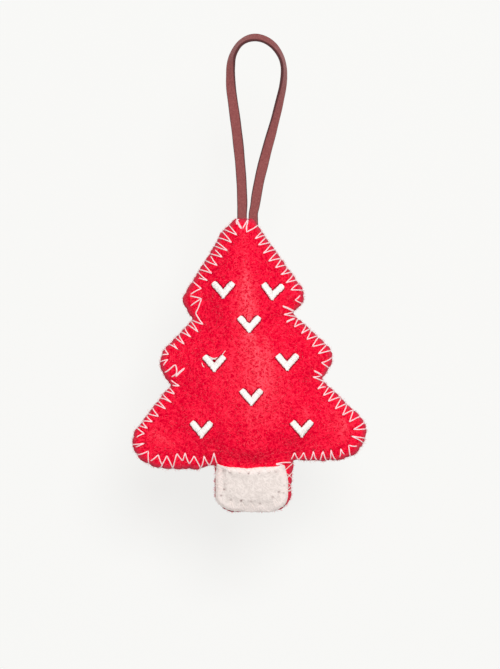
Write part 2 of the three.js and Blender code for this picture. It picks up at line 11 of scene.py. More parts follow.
import bpy
import numpy as np
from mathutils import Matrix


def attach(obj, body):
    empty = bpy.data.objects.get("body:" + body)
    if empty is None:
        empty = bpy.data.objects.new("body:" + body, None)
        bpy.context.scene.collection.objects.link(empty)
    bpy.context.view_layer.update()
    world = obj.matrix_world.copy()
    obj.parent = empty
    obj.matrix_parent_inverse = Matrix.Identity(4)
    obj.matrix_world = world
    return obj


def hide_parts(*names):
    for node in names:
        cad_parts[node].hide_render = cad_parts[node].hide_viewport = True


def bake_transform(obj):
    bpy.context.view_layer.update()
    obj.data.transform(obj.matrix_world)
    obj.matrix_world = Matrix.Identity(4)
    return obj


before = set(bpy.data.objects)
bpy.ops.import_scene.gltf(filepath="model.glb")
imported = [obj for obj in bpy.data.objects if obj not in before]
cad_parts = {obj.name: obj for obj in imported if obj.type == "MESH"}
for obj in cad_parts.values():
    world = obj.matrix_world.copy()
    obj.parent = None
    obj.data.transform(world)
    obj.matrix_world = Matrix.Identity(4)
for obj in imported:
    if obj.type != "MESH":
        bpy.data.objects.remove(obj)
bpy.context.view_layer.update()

# %% [markdown]
# ## The camera
#
# The ornament was photographed flat on, so the camera looks square at it. One photograph pixel is
# 0.4 mm on the ornament, and the frame is 500 by 669 pixels. A long lens far away keeps the
# proportions of a flat-on picture. The hook's place, which is the model's origin, is at pixel
# 254, 41.

# %% Camera and picture scale
MM = 0.001
PIXEL = 0.4  # millimetres on the ornament for one pixel of the photograph
FRAME_PX = np.array([500.0, 669.0])
HOOK_PX = np.array([254.0, 41.0])
CAMERA_DISTANCE = 1.2
SENSOR = 36.0


def from_photo(pixels):
    """Pixels, x to the right and y down, as millimetres, x to the right and z up, from the hook."""
    return (np.asarray(pixels, float) - HOOK_PX) * (PIXEL, -PIXEL)


centre_x, centre_z = from_photo(FRAME_PX / 2) * MM
camera = bpy.data.objects.new("camera", bpy.data.cameras.new("camera"))
camera.location = (centre_x, -CAMERA_DISTANCE, centre_z)
camera.rotation_euler = (math.pi / 2, 0, 0)
camera.data.sensor_width = SENSOR
camera.data.lens = SENSOR * CAMERA_DISTANCE / (FRAME_PX[1] * PIXEL * MM)
bpy.context.scene.collection.objects.link(camera)
bpy.context.scene.camera = camera
print("lens in millimetres:", round(camera.data.lens, 1))

# %% [markdown]
# ## Helpers that turn arrays into meshes
#
# Every new piece is an array of points in millimetres and arrays of faces. Points could be added
# one by one, but foreach_set takes a whole array at once, which is quick for a hundred thousand
# faces. Threads, lace and fibres are all a closed section carried along a path, so one helper
# sweeps a section along many paths at once.


# %% From arrays to a mesh
def make_piece(name, points, faces, material, slot, **attributes):
    """Points in millimetres and face arrays, each (n, corners), as a smooth mesh at the origin."""
    mesh = bpy.data.meshes.new(name)
    corners = np.concatenate([f.ravel() for f in faces]).astype(np.int32)
    sizes = np.concatenate([np.full(len(f), f.shape[1]) for f in faces]).astype(np.int32)
    starts = np.concatenate([[0], np.cumsum(sizes)[:-1]]).astype(np.int32)
    mesh.vertices.add(len(points))
    mesh.vertices.foreach_set("co", (points * MM).astype(np.float32).ravel())
    mesh.loops.add(len(corners))
    mesh.loops.foreach_set("vertex_index", corners)
    mesh.polygons.add(len(sizes))
    mesh.polygons.foreach_set("loop_start", starts)
    mesh.update(calc_edges=True)
    mesh.validate()
    mesh.shade_smooth()
    for key, values in attributes.items():
        layer = mesh.attributes.new(key, "FLOAT", "POINT")
        layer.data.foreach_set("value", np.asarray(values, np.float32).ravel())
    piece = bpy.data.objects.new(name, mesh)
    bpy.context.scene.collection.objects.link(piece)
    mesh.materials.append(material)
    print(f"{name}: {len(points)} points, {int((sizes - 2).sum())} triangles")
    return piece


def ring_quads(grid):
    """Quads between neighbouring rings of point numbers (..., rings, points), closed round each."""
    a, d = grid[..., :-1, :], grid[..., 1:, :]
    b, c = np.roll(a, -1, -1), np.roll(d, -1, -1)
    return np.stack([a, b, c, d], -1).reshape(-1, 4)


# %% Sweeps along paths
def unit(vectors):
    """Vectors scaled to length one along the last axis."""
    return vectors / np.maximum(np.linalg.norm(vectors, axis=-1, keepdims=True), 1e-9)


def along_path(points):
    """The distance travelled to each point of each path, in millimetres."""
    steps = np.linalg.norm(np.diff(points, axis=-2), axis=-1)
    return np.concatenate([np.zeros_like(steps[..., :1]), np.cumsum(steps, -1)], -1)


def section_angles(sides):
    """Evenly spaced angles round a closed section."""
    return 2 * math.pi * np.arange(sides) / sides


def circle(sides):
    """A round section of radius one: (cos, sin) of evenly spaced angles."""
    return np.stack([np.cos(section_angles(sides)), np.sin(section_angles(sides))], -1)


def sweep(paths, away, profile):
    """Carries a closed profile along paths.

    paths and away are (strands, points, 3); away points off the surface that a strand lies on.
    profile is (..., sides, 2): steps sideways and along away. Each ring is the path's point plus
    the profile in the plane square to the path. Flat caps close both ends.
    """
    strands, count, _ = paths.shape
    tangent = unit(np.gradient(paths, axis=1))
    up = unit(away - (away * tangent).sum(-1, keepdims=True) * tangent)
    side = np.cross(tangent, up)
    profile = np.broadcast_to(profile, (strands, count) + profile.shape[-2:])
    rings = (
        paths[:, :, None]
        + side[:, :, None] * profile[..., 0, None]
        + up[:, :, None] * profile[..., 1, None]
    )
    grid = np.arange(rings[..., 0].size).reshape(rings.shape[:3])
    caps = np.concatenate([grid[:, 0], grid[:, -1, ::-1]])
    return rings.reshape(-1, 3), [ring_quads(grid)[:, ::-1], caps]


# %% Smooth paths and smooth steps
def resample(points, step=None, count=None):
    """A path's points spaced evenly along it, by a smooth curve through the given ones.

    Each coordinate is a cubic in the distance travelled, with slopes from the neighbouring points.
    """
    points = np.asarray(points, float)
    s = along_path(points[:, :2])
    slope = np.gradient(points, s, axis=0)
    count = count or max(2, int(round(s[-1] / step)) + 1)
    at = np.linspace(0, s[-1], count)
    k = np.clip(np.searchsorted(s, at, side="right") - 1, 0, len(s) - 2)
    span = (s[k + 1] - s[k])[:, None]
    t = ((at - s[k])[:, None]) / span
    return (
        (2 * t**3 - 3 * t**2 + 1) * points[k]
        + (t**3 - 2 * t**2 + t) * span * slope[k]
        + (3 * t**2 - 2 * t**3) * points[k + 1]
        + (t**3 - t**2) * span * slope[k + 1]
    )


def smooth_step(x, low, high):
    """Zero below low, one above high, and an S between."""
    t = np.clip((x - low) / (high - low), 0, 1)
    return t * t * (3 - 2 * t)


def in_blocks(work, points, size):
    """What work gives for points, in blocks of a size, to save memory."""
    return np.concatenate([work(points[k : k + size]) for k in range(0, len(points), size)])


# %% [markdown]
# ## Shared effects as node groups
#
# Felt, suede and thread are all made of fibres, so they share their effects. Images could show
# the fibres too, but noise stays sharp from any distance and needs no unwrapping. One group makes
# curved fibre flecks, which are thin streaks of noise in three directions, bent by a second
# noise. Another makes soft mottling, and a third small round pores. Each gives only masks and
# heights, and each material mixes its own colours.


# %% Node helpers
def new_group(name, inputs, outputs):
    """An empty shader group with float inputs, given as name and default, and float outputs."""
    tree = bpy.data.node_groups.new(name, "ShaderNodeTree")
    tree.interface.new_socket("Vector", in_out="INPUT", socket_type="NodeSocketVector")
    for key, default in inputs.items():
        socket = tree.interface.new_socket(key, in_out="INPUT", socket_type="NodeSocketFloat")
        socket.default_value = default
    for key in outputs:
        tree.interface.new_socket(key, in_out="OUTPUT", socket_type="NodeSocketFloat")
    return tree, tree.nodes.new("NodeGroupInput"), tree.nodes.new("NodeGroupOutput")


def node(tree, kind, settings=None, **inputs):
    """Adds a node. Inputs are values or output sockets, by the socket's name with _ for a space, or
    by n and its number."""
    made = tree.nodes.new(kind)
    for key, value in (settings or {}).items():
        setattr(made, key, value)
    for key, value in inputs.items():
        key = int(key[1:]) if key[0] == "n" and key[1:].isdigit() else key.replace("_", " ")
        if isinstance(value, bpy.types.NodeSocket):
            tree.links.new(value, made.inputs[key])
        else:
            made.inputs[key].default_value = value
    return made


def math_node(tree, operation, a, b=0.0, clamp=False):
    """One math node's output."""
    settings = {"operation": operation, "use_clamp": clamp}
    return node(tree, "ShaderNodeMath", settings, n0=a, n1=b).outputs[0]


def vector_node(tree, operation, a, **inputs):
    """One vector math node's output."""
    return node(tree, "ShaderNodeVectorMath", {"operation": operation}, n0=a, **inputs).outputs[0]


# %% Fibre flecks
STREAK_TURNS = (0.35, 1.45, 2.5)  # radians, in the plane of the felt
STREAK_SQUEEZE = (0.5, 1.0, 1.9)  # long one way and narrow the other
BEND_SCALE = 420.0
FIBRE_CONTRAST = 7.0
GAP_LEVEL = 0.62


def fibre_group():
    """Streaks: noise squeezed along one direction in the plane of the felt, in three directions."""
    tree, start, end = new_group(
        "fibre flecks", {"Scale": 700.0, "Bend": 0.0006, "Cut": 0.56}, ["Mask", "Height", "Gaps"]
    )
    vector = start.outputs["Vector"]
    coarse = node(tree, "ShaderNodeTexNoise", Vector=vector, Scale=BEND_SCALE, Detail=2.0)
    centred = vector_node(tree, "SUBTRACT", coarse.outputs["Color"], n1=(0.5,) * 3)
    bend = vector_node(tree, "SCALE", centred, Scale=start.outputs["Bend"])
    bent = vector_node(tree, "ADD", vector, n1=bend)
    most = None
    for angle in STREAK_TURNS:
        turned = node(
            tree, "ShaderNodeVectorRotate", {"rotation_type": "Y_AXIS"}, Vector=bent, Angle=angle
        )
        noise = node(
            tree, "ShaderNodeTexNoise", Scale=start.outputs["Scale"], Detail=2.0, Roughness=0.6,
            Vector=vector_node(tree, "MULTIPLY", turned.outputs[0], n1=STREAK_SQUEEZE),
        )
        value = noise.outputs["Fac"]
        most = value if most is None else math_node(tree, "MAXIMUM", most, value)
    above = math_node(tree, "SUBTRACT", most, start.outputs["Cut"])
    below = math_node(tree, "SUBTRACT", GAP_LEVEL, most)
    for level, key in ((above, "Mask"), (below, "Gaps")):
        sharp = math_node(tree, "MULTIPLY", level, FIBRE_CONTRAST, clamp=True)
        tree.links.new(sharp, end.inputs[key])
    tree.links.new(most, end.inputs["Height"])
    return tree


FIBRES = fibre_group()
print("fibre group sockets:", [item.name for item in FIBRES.interface.items_tree])


# %% Mottling and pores
def mottle_group():
    """Soft blotches of two sizes: noise stretched to run from nought to one."""
    tree, start, end = new_group("soft mottling", {"Scale": 500.0}, ["Fine", "Broad"])
    fine_scale = start.outputs["Scale"]
    broad_scale = math_node(tree, "MULTIPLY", fine_scale, 0.16)
    for key, scale, detail in (("Fine", fine_scale, 4.0), ("Broad", broad_scale, 2.0)):
        noise = node(
            tree, "ShaderNodeTexNoise", Vector=start.outputs["Vector"], Scale=scale, Detail=detail
        )
        spread = node(
            tree, "ShaderNodeMapRange", Value=noise.outputs["Fac"], From_Min=0.3, From_Max=0.7
        )
        tree.links.new(spread.outputs[0], end.inputs[key])
    return tree


def pore_group():
    """Small round pits, one in each Voronoi cell: one at its middle, nought outside its radius."""
    tree, start, end = new_group("needle pores", {"Scale": 400.0, "Radius": 0.3}, ["Mask"])
    vector, scale = start.outputs["Vector"], start.outputs["Scale"]
    cells = node(tree, "ShaderNodeTexVoronoi", Vector=vector, Scale=scale)
    rim = node(
        tree, "ShaderNodeMapRange", {"interpolation_type": "SMOOTHSTEP"}, To_Min=1.0, To_Max=0.0,
        Value=cells.outputs["Distance"], From_Max=start.outputs["Radius"],
    )
    tree.links.new(rim.outputs[0], end.inputs["Mask"])
    return tree


MOTTLE = mottle_group()
PORES = pore_group()


# %% Colours and materials
def linear(r, g, b):
    """A screen colour, 0 to 255, as the light that it stands for."""
    c = np.array([r, g, b]) / 255
    return (*np.where(c <= 0.04045, c / 12.92, ((c + 0.055) / 1.055) ** 2.4), 1.0)


def mix_colour(tree, share, a, b):
    """Mixes colour a towards colour b by a share. A colour mix node has them at sockets 6 and 7."""
    made = node(tree, "ShaderNodeMix", {"data_type": "RGBA"}, n0=share, n6=a, n7=b)
    return made.outputs[2]


def group_node(tree, group, vector, **inputs):
    """Places a group with its vector and its own values."""
    return node(tree, "ShaderNodeGroup", {"node_tree": group}, Vector=vector, **inputs)


def new_material(name, **settings):
    """A material with its Principled shader set. Constants sit on the shader's own sockets."""
    material = bpy.data.materials.new(name)
    material.use_nodes = True
    shader = material.node_tree.nodes["Principled BSDF"]
    for key, value in settings.items():
        shader.inputs[key.replace("_", " ")].default_value = value
    return material, material.node_tree, shader


def on_object(tree):
    """The place on the object, for patterns that stay on it wherever it goes."""
    return node(tree, "ShaderNodeTexCoord").outputs["Object"]


def finish(tree, shader, colour, height, distance):
    """Links a colour, and bump from a height with its distance in metres, into the shader."""
    made = node(tree, "ShaderNodeBump", Strength=1.0, Distance=distance, Height=height)
    tree.links.new(made.outputs[0], shader.inputs["Normal"])
    tree.links.new(colour, shader.inputs["Base Color"])


# %% [markdown]
# ## Felt
#
# Pressed felt is a mat of wool. Its fibres catch the light, and between them it is dull and deep
# in colour. A sheen could veil all of it, but the real shine breaks up into threads. So it is a
# coat whose weight follows the fibre mask. Shade and sheen are painted on the red felt's cut edge,
# which is darker and pinker there. Light is painted on the pale patch's border, and shade is
# painted into the needle holes. These places come from attributes that the mesh carries.

# %% Felt
PORES_PER_FLECK = 0.42  # pores along a line for each fleck along it
PATCHY = 0.25  # how much the broad mottling closes up the fibres
OPEN_LEVEL = 1.1
LIGHT_FLECKS = 0.27  # how much of the light colour a fleck takes
PAINTED_LIGHT_SHARES = {"cut": 0.62, "hole": 0.9}  # shares of painted shade and sheen on the cut edge, light on the border and shade in holes


def felt(name, deep, body, light, rim, hole, fleck_scale, relief, gloss, smooth):
    """Fibres of two colours over deep gaps: open = (1.1 - gaps - patchy) (1 - pores)."""
    material, tree, shader = new_material(
        name, Roughness=0.9, Specular_IOR_Level=0.0, Coat_Roughness=smooth, Coat_IOR=1.5
    )
    vector = on_object(tree)
    mottle = group_node(tree, MOTTLE, vector, Scale=fleck_scale)
    fibres = group_node(tree, FIBRES, vector, Scale=fleck_scale)
    pores = group_node(tree, PORES, vector, Scale=fleck_scale * PORES_PER_FLECK)
    patchy = math_node(tree, "MULTIPLY", mottle.outputs["Broad"], PATCHY)
    filled = math_node(tree, "SUBTRACT", OPEN_LEVEL, fibres.outputs["Gaps"])
    filled = math_node(tree, "SUBTRACT", filled, patchy, clamp=True)
    unpricked = math_node(tree, "SUBTRACT", 1.0, pores.outputs["Mask"])
    open_share = math_node(tree, "MULTIPLY", filled, unpricked, clamp=True)
    tree.links.new(math_node(tree, "MULTIPLY", open_share, gloss), shader.inputs["Coat Weight"])
    flecks = math_node(tree, "MULTIPLY", fibres.outputs["Mask"], LIGHT_FLECKS)
    fibres_with_painted_shade = mix_colour(tree, flecks, mix_colour(tree, open_share, deep, body), light)
    # The rim colour is painted shade and sheen on the red felt's cut edge and painted light on the
    # pale patch's border. The hole colour is painted shade in the needle holes.
    for (key, share), colour in zip(PAINTED_LIGHT_SHARES.items(), (rim, hole)):
        place = node(tree, "ShaderNodeAttribute", {"attribute_name": key}).outputs["Fac"]
        fibres_with_painted_shade = mix_colour(tree, math_node(tree, "MULTIPLY", place, share), fibres_with_painted_shade, colour)
    finish(tree, shader, fibres_with_painted_shade, open_share, relief)
    return material


# rim is painted shade and sheen: the cut edge is darker and pinker where it turns away. hole is
# painted shade in the needle holes.
RED_FELT = felt(
    "red felt", deep=linear(210, 0, 40), body=linear(247, 1, 52), light=linear(255, 70, 95),
    rim=linear(186, 56, 78), hole=linear(120, 0, 18), fleck_scale=1000.0, relief=0.00005,
    gloss=0.34, smooth=0.42,
)
# rim is painted light on the patch's raised border, lighter than the greyer middle. hole is painted
# shade in the needle pits.
PALE_FELT = felt(
    "pale felt", deep=linear(218, 207, 201), body=linear(232, 220, 214),
    light=linear(242, 235, 230), rim=linear(243, 230, 225), hole=linear(100, 40, 44),
    fleck_scale=900.0, relief=0.00008, gloss=0.1, smooth=0.5,
)
print("felts:", RED_FELT.name, PALE_FELT.name)

# %% [markdown]
# ## Floss, suede and loose fibre
#
# Cotton floss is smooth and shows fine streaks along its twist. Suede has a soft lighter nap on
# its faces and a darker cut edge, partly its own colour and partly painted shade. Loose fibre is
# blotchy and dull. All three could use one material, but each has its own gloss, so each is made
# here from the same groups.


# %% Floss
def thread_finish(name, body, shade, roughness):
    """Cotton floss: fine streaks of its fibres over one colour."""
    material, tree, shader = new_material(name, Roughness=roughness, Sheen_Weight=0.2)
    fibres = group_node(tree, FIBRES, on_object(tree), Scale=2200.0, Cut=0.5)
    streaked = mix_colour(tree, fibres.outputs["Mask"], shade, body)
    finish(tree, shader, streaked, fibres.outputs["Height"], 0.0002)
    return material


EDGE_FLOSS = thread_finish("edge floss", linear(255, 232, 232), linear(250, 196, 202), 0.55)
PATCH_FLOSS = thread_finish("patch floss", linear(246, 233, 227), linear(238, 225, 219), 0.7)
SATIN_FLOSS = thread_finish("satin floss", linear(254, 251, 247), linear(243, 234, 229), 0.45)


# %% Suede
def suede_finish():
    """Napped suede: mottled faces with light flecks, and darker where the cut attribute says."""
    material, tree, shader = new_material(
        "brown suede", Roughness=0.85, Sheen_Weight=0.15, Specular_IOR_Level=0.3
    )
    vector = on_object(tree)
    mottle = group_node(tree, MOTTLE, vector, Scale=1500.0)
    fibres = group_node(tree, FIBRES, vector, Scale=1400.0)
    cut = node(tree, "ShaderNodeAttribute", {"attribute_name": "cut"}).outputs["Fac"]
    face = mix_colour(tree, mottle.outputs["Fine"], linear(123, 61, 61), linear(146, 79, 77))
    flecks = math_node(tree, "MULTIPLY", fibres.outputs["Mask"], 0.3)
    napped = mix_colour(tree, flecks, face, linear(158, 99, 95))
    # The cut edge is darker: partly its own colour, partly painted shade.
    edged = mix_colour(tree, cut, napped, linear(76, 36, 37))
    finish(tree, shader, edged, fibres.outputs["Height"], 0.0003)
    return material


BROWN_SUEDE = suede_finish()


# %% Loose fibre
def plain_fibre(name, deep, light, sheen=0.3, gloss=0.5):
    """Loose fibre: blotches between two colours."""
    material, tree, shader = new_material(
        name, Roughness=1.0, Sheen_Weight=sheen, Specular_IOR_Level=gloss
    )
    blotches = group_node(tree, MOTTLE, on_object(tree), Scale=900.0).outputs["Fine"]
    finish(tree, shader, mix_colour(tree, blotches, deep, light), blotches, 0.0006)
    return material


WHITE_FIBRE = plain_fibre("white fibre", linear(222, 222, 218), linear(250, 250, 247))
RED_FUZZ = plain_fibre("red fuzz", linear(240, 40, 66), linear(255, 112, 126))
# Painted shade: dark pegs stand in for the shade inside needle holes.
HOLE_SHADE = plain_fibre("needle hole shade", linear(150, 0, 26), linear(186, 4, 42), 0.0, 0.0)
print("materials:", [m.name for m in bpy.data.materials])

# %% [markdown]
# ## The lace
#
# The loop is one flat suede lace, 3.8 mm wide and 1.3 mm thick in the seam and a tenth wider
# where it is free. Its two ends go side by side into the seam at the tip, and it turns on itself
# as it rises, so that at the hook its edge shows. A cloth strip could be left to fall into such a
# loop, but it would not fall into this one. So the lace follows points read over the loop, each
# with how far its face has turned outwards, and a flat bar carried along that line gives the
# turn.

# %% Sizes that the lace and the tree share
TREE_HEIGHT = 117.4
TREE_WIDTH = 93.2
LACE_WIDTH, LACE_THICK = 3.8, 1.3
LOOP_LENGTH, LOOP_WIDTH = 71.3, 21.6
LEG_GAP, TAIL_LENGTH = 0.7, 9.0
SEAT_GAP, SEAM_GAP = 0.3, 0.3
HOOK_TURN = math.radians(64)
HALF_WIDTH = TREE_WIDTH / 2
mouth_z = (LACE_WIDTH * math.cos(HOOK_TURN) + LACE_THICK * math.sin(HOOK_TURN)) / 2 - LOOP_LENGTH
tip_z = mouth_z - SEAT_GAP - LACE_THICK / 2
foot_z = tip_z - TREE_HEIGHT
axis_x = -0.083 * LOOP_WIDTH
mouth_x = axis_x - 0.016 * HALF_WIDTH
leg_offset = (LACE_WIDTH + LEG_GAP) / 2
print("seam at z", round(mouth_z, 2), "tip", round(tip_z, 2), "foot", round(foot_z, 2))

# %% The lace's route
# Its middle line in photograph pixels, x and y, and how many degrees its face has turned outwards
LACE_ROUTE = np.array([
    (242.3, 206, 6), (242.1, 196, 6), (241.4, 180, 7), (240.2, 164, 8), (238.7, 148, 10),
    (236.9, 132, 12), (234.8, 116, 9), (232.6, 100, 10), (231.1, 88, 20), (230.6, 76, 34),
    (230.8, 66, 43), (232.3, 57, 58), (235, 50.6, 62), (239.3, 44.4, 62), (245.5, 39.8, 57),
    (251, 37.9, 51), (256, 37.5, 48), (262, 38.6, 48), (268, 41.3, 49), (273.5, 45.6, 54),
    (278.2, 51.6, 61), (281.7, 58.5, 66), (283.7, 67, 67), (283.9, 76, 64), (282.8, 86.5, 58),
    (280.1, 99, 49), (276.2, 115.5, 40), (271.8, 132, 29), (267.3, 148, 21), (263.2, 164, 13),
    (259.4, 180, 10), (256.4, 196, 9), (254.9, 206, 8),
])
over = np.column_stack([from_photo(LACE_ROUTE[:, :2]), LACE_ROUTE[:, 2]])
leg_heights = np.array([-TAIL_LENGTH, -TAIL_LENGTH / 2, -1.0, 0.5])


def leg_stops(side):
    """A leg's straight stretch, from its end inside the tree up to the seam."""
    place = (mouth_x + side * leg_offset, mouth_z + leg_heights, 0.0)
    return np.stack(np.broadcast_arrays(*place), -1)


lace_line = resample(np.concatenate([leg_stops(-1), over, leg_stops(1)[::-1]]), step=0.5)
lace_turn = np.radians(lace_line[:, 2])
lace_path = np.stack([lace_line[:, 0], np.zeros(len(lace_line)), lace_line[:, 1]], -1)
travelled = along_path(lace_path)

# %% The lace's section and its turn
FRONT = np.array([0.0, -1.0, 0.0])
CORNER = np.array([[1, 0], [0.96, 0.3], [0.86, 0.62], [0.7, 0.86], [0.45, 1.0]])
FLAT_HALF = 1.35
tangent = unit(np.gradient(lace_path, axis=0))
outwards = np.cross(FRONT, tangent)
lace_face = np.cos(lace_turn)[:, None] * FRONT + np.sin(lace_turn)[:, None] * outwards
rounded_x = LACE_WIDTH / 2 - 0.38 * (1 - CORNER[:, 0]) / 0.55
quarter = np.stack([rounded_x, LACE_THICK / 2 * CORNER[:, 1]], -1)
flat_top = np.stack([np.linspace(FLAT_HALF, -FLAT_HALF, 7), np.full(7, LACE_THICK / 2)], -1)
half = np.concatenate([quarter, flat_top, quarter[::-1] * [-1, 1]])
lace_profile = np.concatenate([half, -half[1:-1]])
print("lace section points:", len(lace_profile))

# %% The lace itself
FREE_WIDER = 0.1
wave = 0.05 * np.sin(travelled / 5.3) + 0.03 * np.sin(travelled / 1.9 + 1)
wide = 1 + FREE_WIDER * smooth_step(lace_path[:, 2] - mouth_z, 0, 8)
uneven = np.stack([wide + wave / 1.9, 1 + 0.6 * wave], -1)
profile = lace_profile[None] * uneven[:, None]
points, faces = sweep(lace_path[None], lace_face[None], profile[None])
# cut marks the cut edges, which are darker, partly in their own colour and partly in painted shade.
cut = smooth_step(np.abs(lace_profile[:, 0]), 1.45, 1.8)
cut = np.broadcast_to(cut, (len(lace_path), len(lace_profile)))
lace = make_piece("suede_lace", points, faces, BROWN_SUEDE, "brown_suede", cut=cut)
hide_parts("hanging_lace", "lace_end_left", "lace_end_right")

# %% [markdown]
# ## The felts' outline
#
# Felt is cut with shears, so its outline is long soft curves with sharp notches. The corners are
# listed from the tip down, as read from the photograph, each with the radius that rounds it. A
# drawn curve could be traced instead, but corners and radii are fewer numbers and easy to mend.
# Both sides get equal numbers of points, so that grid lines from both can meet on the tree's
# middle line.

# %% Outline corners in photograph pixels: x, y, radius
LEFT_CORNERS = [
    (236, 218.1, 7), (222.8, 231, 20), (180, 301.7, 22), (193.2, 319.1, 3), (156, 357.5, 20),
    (169.8, 385.7, 3), (132.8, 433.5, 18.6), (132.4, 449, 14), (145, 463.3, 20), (163, 469, 25),
    (200, 469, 23), (215, 463.2, 2.6), (214.8, 510.8, 18),
]
RIGHT_CORNERS = [
    (252.4, 218.8, 8), (261.6, 231, 20), (308.4, 297.6, 14), (292.7, 313.2, 3), (337.1, 354.6, 20),
    (322.2, 379.5, 3), (367.5, 424.1, 18.6), (364.5, 441, 14), (356, 454, 18), (341, 460.3, 23),
    (320, 460.5, 23), (293, 460.1, 2.6), (290.3, 510.9, 30),
]
# The hub that each corner's grid line runs to, and where it reaches the middle line: steps aside
# as a share of half the width, and heights as shares of the tree's
HUBS = np.array([
    (0, 0.91, 0.9), (0.01, 0.9, 0.885), (0.03, 0.875, 0.86), (0.28, 0.735, 0.75),
    (0.2, 0.66, 0.685), (0.52, 0.535, 0.56), (0.41, 0.445, 0.48), (0.75, 0.32, 0.39),
    (0.71, 0.295, 0.35), (0.66, 0.275, 0.325), (0.56, 0.26, 0.305), (0.42, 0.25, 0.29),
    (0.2, 0.24, 0.25), (0.17, 0.075, 0.07), (0, 0.07, 0.06),
])
OUTLINE_STEP = 0.36
ARC_POINTS = 15


# %% Arcs at the corners
def rounded(corners):
    """The outline through corners with their arcs, and the number of each corner's middle."""
    spots = from_photo([c[:2] for c in corners])
    points, marks = [spots[0]], []
    for before, corner, after, (_, _, radius) in zip(spots, spots[1:], spots[2:], corners[1:]):
        back, ahead = unit(before - corner), unit(after - corner)
        half = math.acos(np.clip(back @ ahead, -1, 1)) / 2
        room = 0.48 * min(np.linalg.norm(before - corner), np.linalg.norm(after - corner))
        run = min(radius * PIXEL / math.tan(half), room)
        centre = corner + unit(back + ahead) * run * math.tan(half) / math.sin(half)
        start, end = corner + back * run - centre, corner + ahead * run - centre
        turn = math.atan2(start[0] * end[1] - start[1] * end[0], start @ end)
        angles = np.linspace(0, turn, ARC_POINTS)[:, None]
        square = np.stack([-start[1], start[0]])
        marks.append(len(points) + ARC_POINTS // 2)
        points.extend(centre + start * np.cos(angles) + square * np.sin(angles))
    return np.array([*points, spots[-1]]), marks


def outline_side(corners, counts=None):
    """One side with the same number of points between two corner middles as the other side has."""
    line, marks = rounded(corners)
    s = along_path(line)
    stops = np.concatenate([[0], s[marks], [s[-1]]])
    counts = np.round(np.diff(stops) / OUTLINE_STEP).astype(int) if counts is None else counts
    runs = [a + (b - a) * np.arange(n) / n for a, b, n in zip(stops, stops[1:], counts)]
    at = np.concatenate(runs + [[s[-1]]])
    return np.stack([np.interp(at, s, line[:, 0]), np.interp(at, s, line[:, 1])], -1), counts


def middle_corner(left, right):
    """A corner halfway between one of each side, with next to no radius."""
    return (*(np.array(left[:2]) + right[:2]) / 2, 1)


top_px = middle_corner(LEFT_CORNERS[0], RIGHT_CORNERS[0])
foot_px = middle_corner(LEFT_CORNERS[-1], RIGHT_CORNERS[-1])
left_line, side_counts = outline_side([top_px, *LEFT_CORNERS, foot_px])
right_line, _ = outline_side([top_px, *RIGHT_CORNERS, foot_px], side_counts)
SIDE = len(right_line) - 1
outline = np.concatenate([right_line, left_line[1:-1][::-1]])
COUNT = len(outline)
outline_s = along_path(np.vstack([outline, outline[:1]]))
OUTLINE_LENGTH = outline_s[-1]
print("outline points:", COUNT, "length in mm:", round(OUTLINE_LENGTH, 1))

# %% Outline directions and the grid lines inside
ring_index = np.arange(COUNT)
side_index = np.where(ring_index <= SIDE, ring_index, COUNT - ring_index)
side_sign = np.where(ring_index <= SIDE, 1.0, -1.0)


def square_to(line):
    """Unit vectors to the left of a closed line, from each point's two neighbours."""
    ahead = np.roll(line, -1, 0) - np.roll(line, 1, 0)
    return unit(np.stack([-ahead[:, 1], ahead[:, 0]], -1))


outward = square_to(outline)
for _ in range(3):
    outward = unit(np.roll(outward, 1, 0) + 2 * outward + np.roll(outward, -1, 0))

hub_stops = np.concatenate([[0], np.cumsum(side_counts)])
aside, hub_height, middle_height = (np.interp(side_index, hub_stops, h) for h in HUBS.T)
top_middle, foot_middle = from_photo(top_px[:2]), from_photo(foot_px[:2])


def on_middle_line(height_share):
    """The point of the tree's middle line at a share of its height."""
    return foot_middle + np.asarray(height_share)[..., None] * (top_middle - foot_middle)


hubs = on_middle_line(hub_height) + np.stack([side_sign * aside * HALF_WIDTH, np.zeros(COUNT)], -1)
spine = on_middle_line(middle_height)
print("middle line from", top_middle.round(1), "to", foot_middle.round(1))

# %% [markdown]
# ## The stitches
#
# A zigzag of floss goes over the cut edges. Each V is one needle hole in the felt with two legs
# that run out to the edge. Stitches could be spaced by a formula, but hand stitches wander, so
# each is listed in photograph pixels: its hole and the two places where its legs reach the edge,
# clockwise from the right of the lace down, round and up to the left of it.

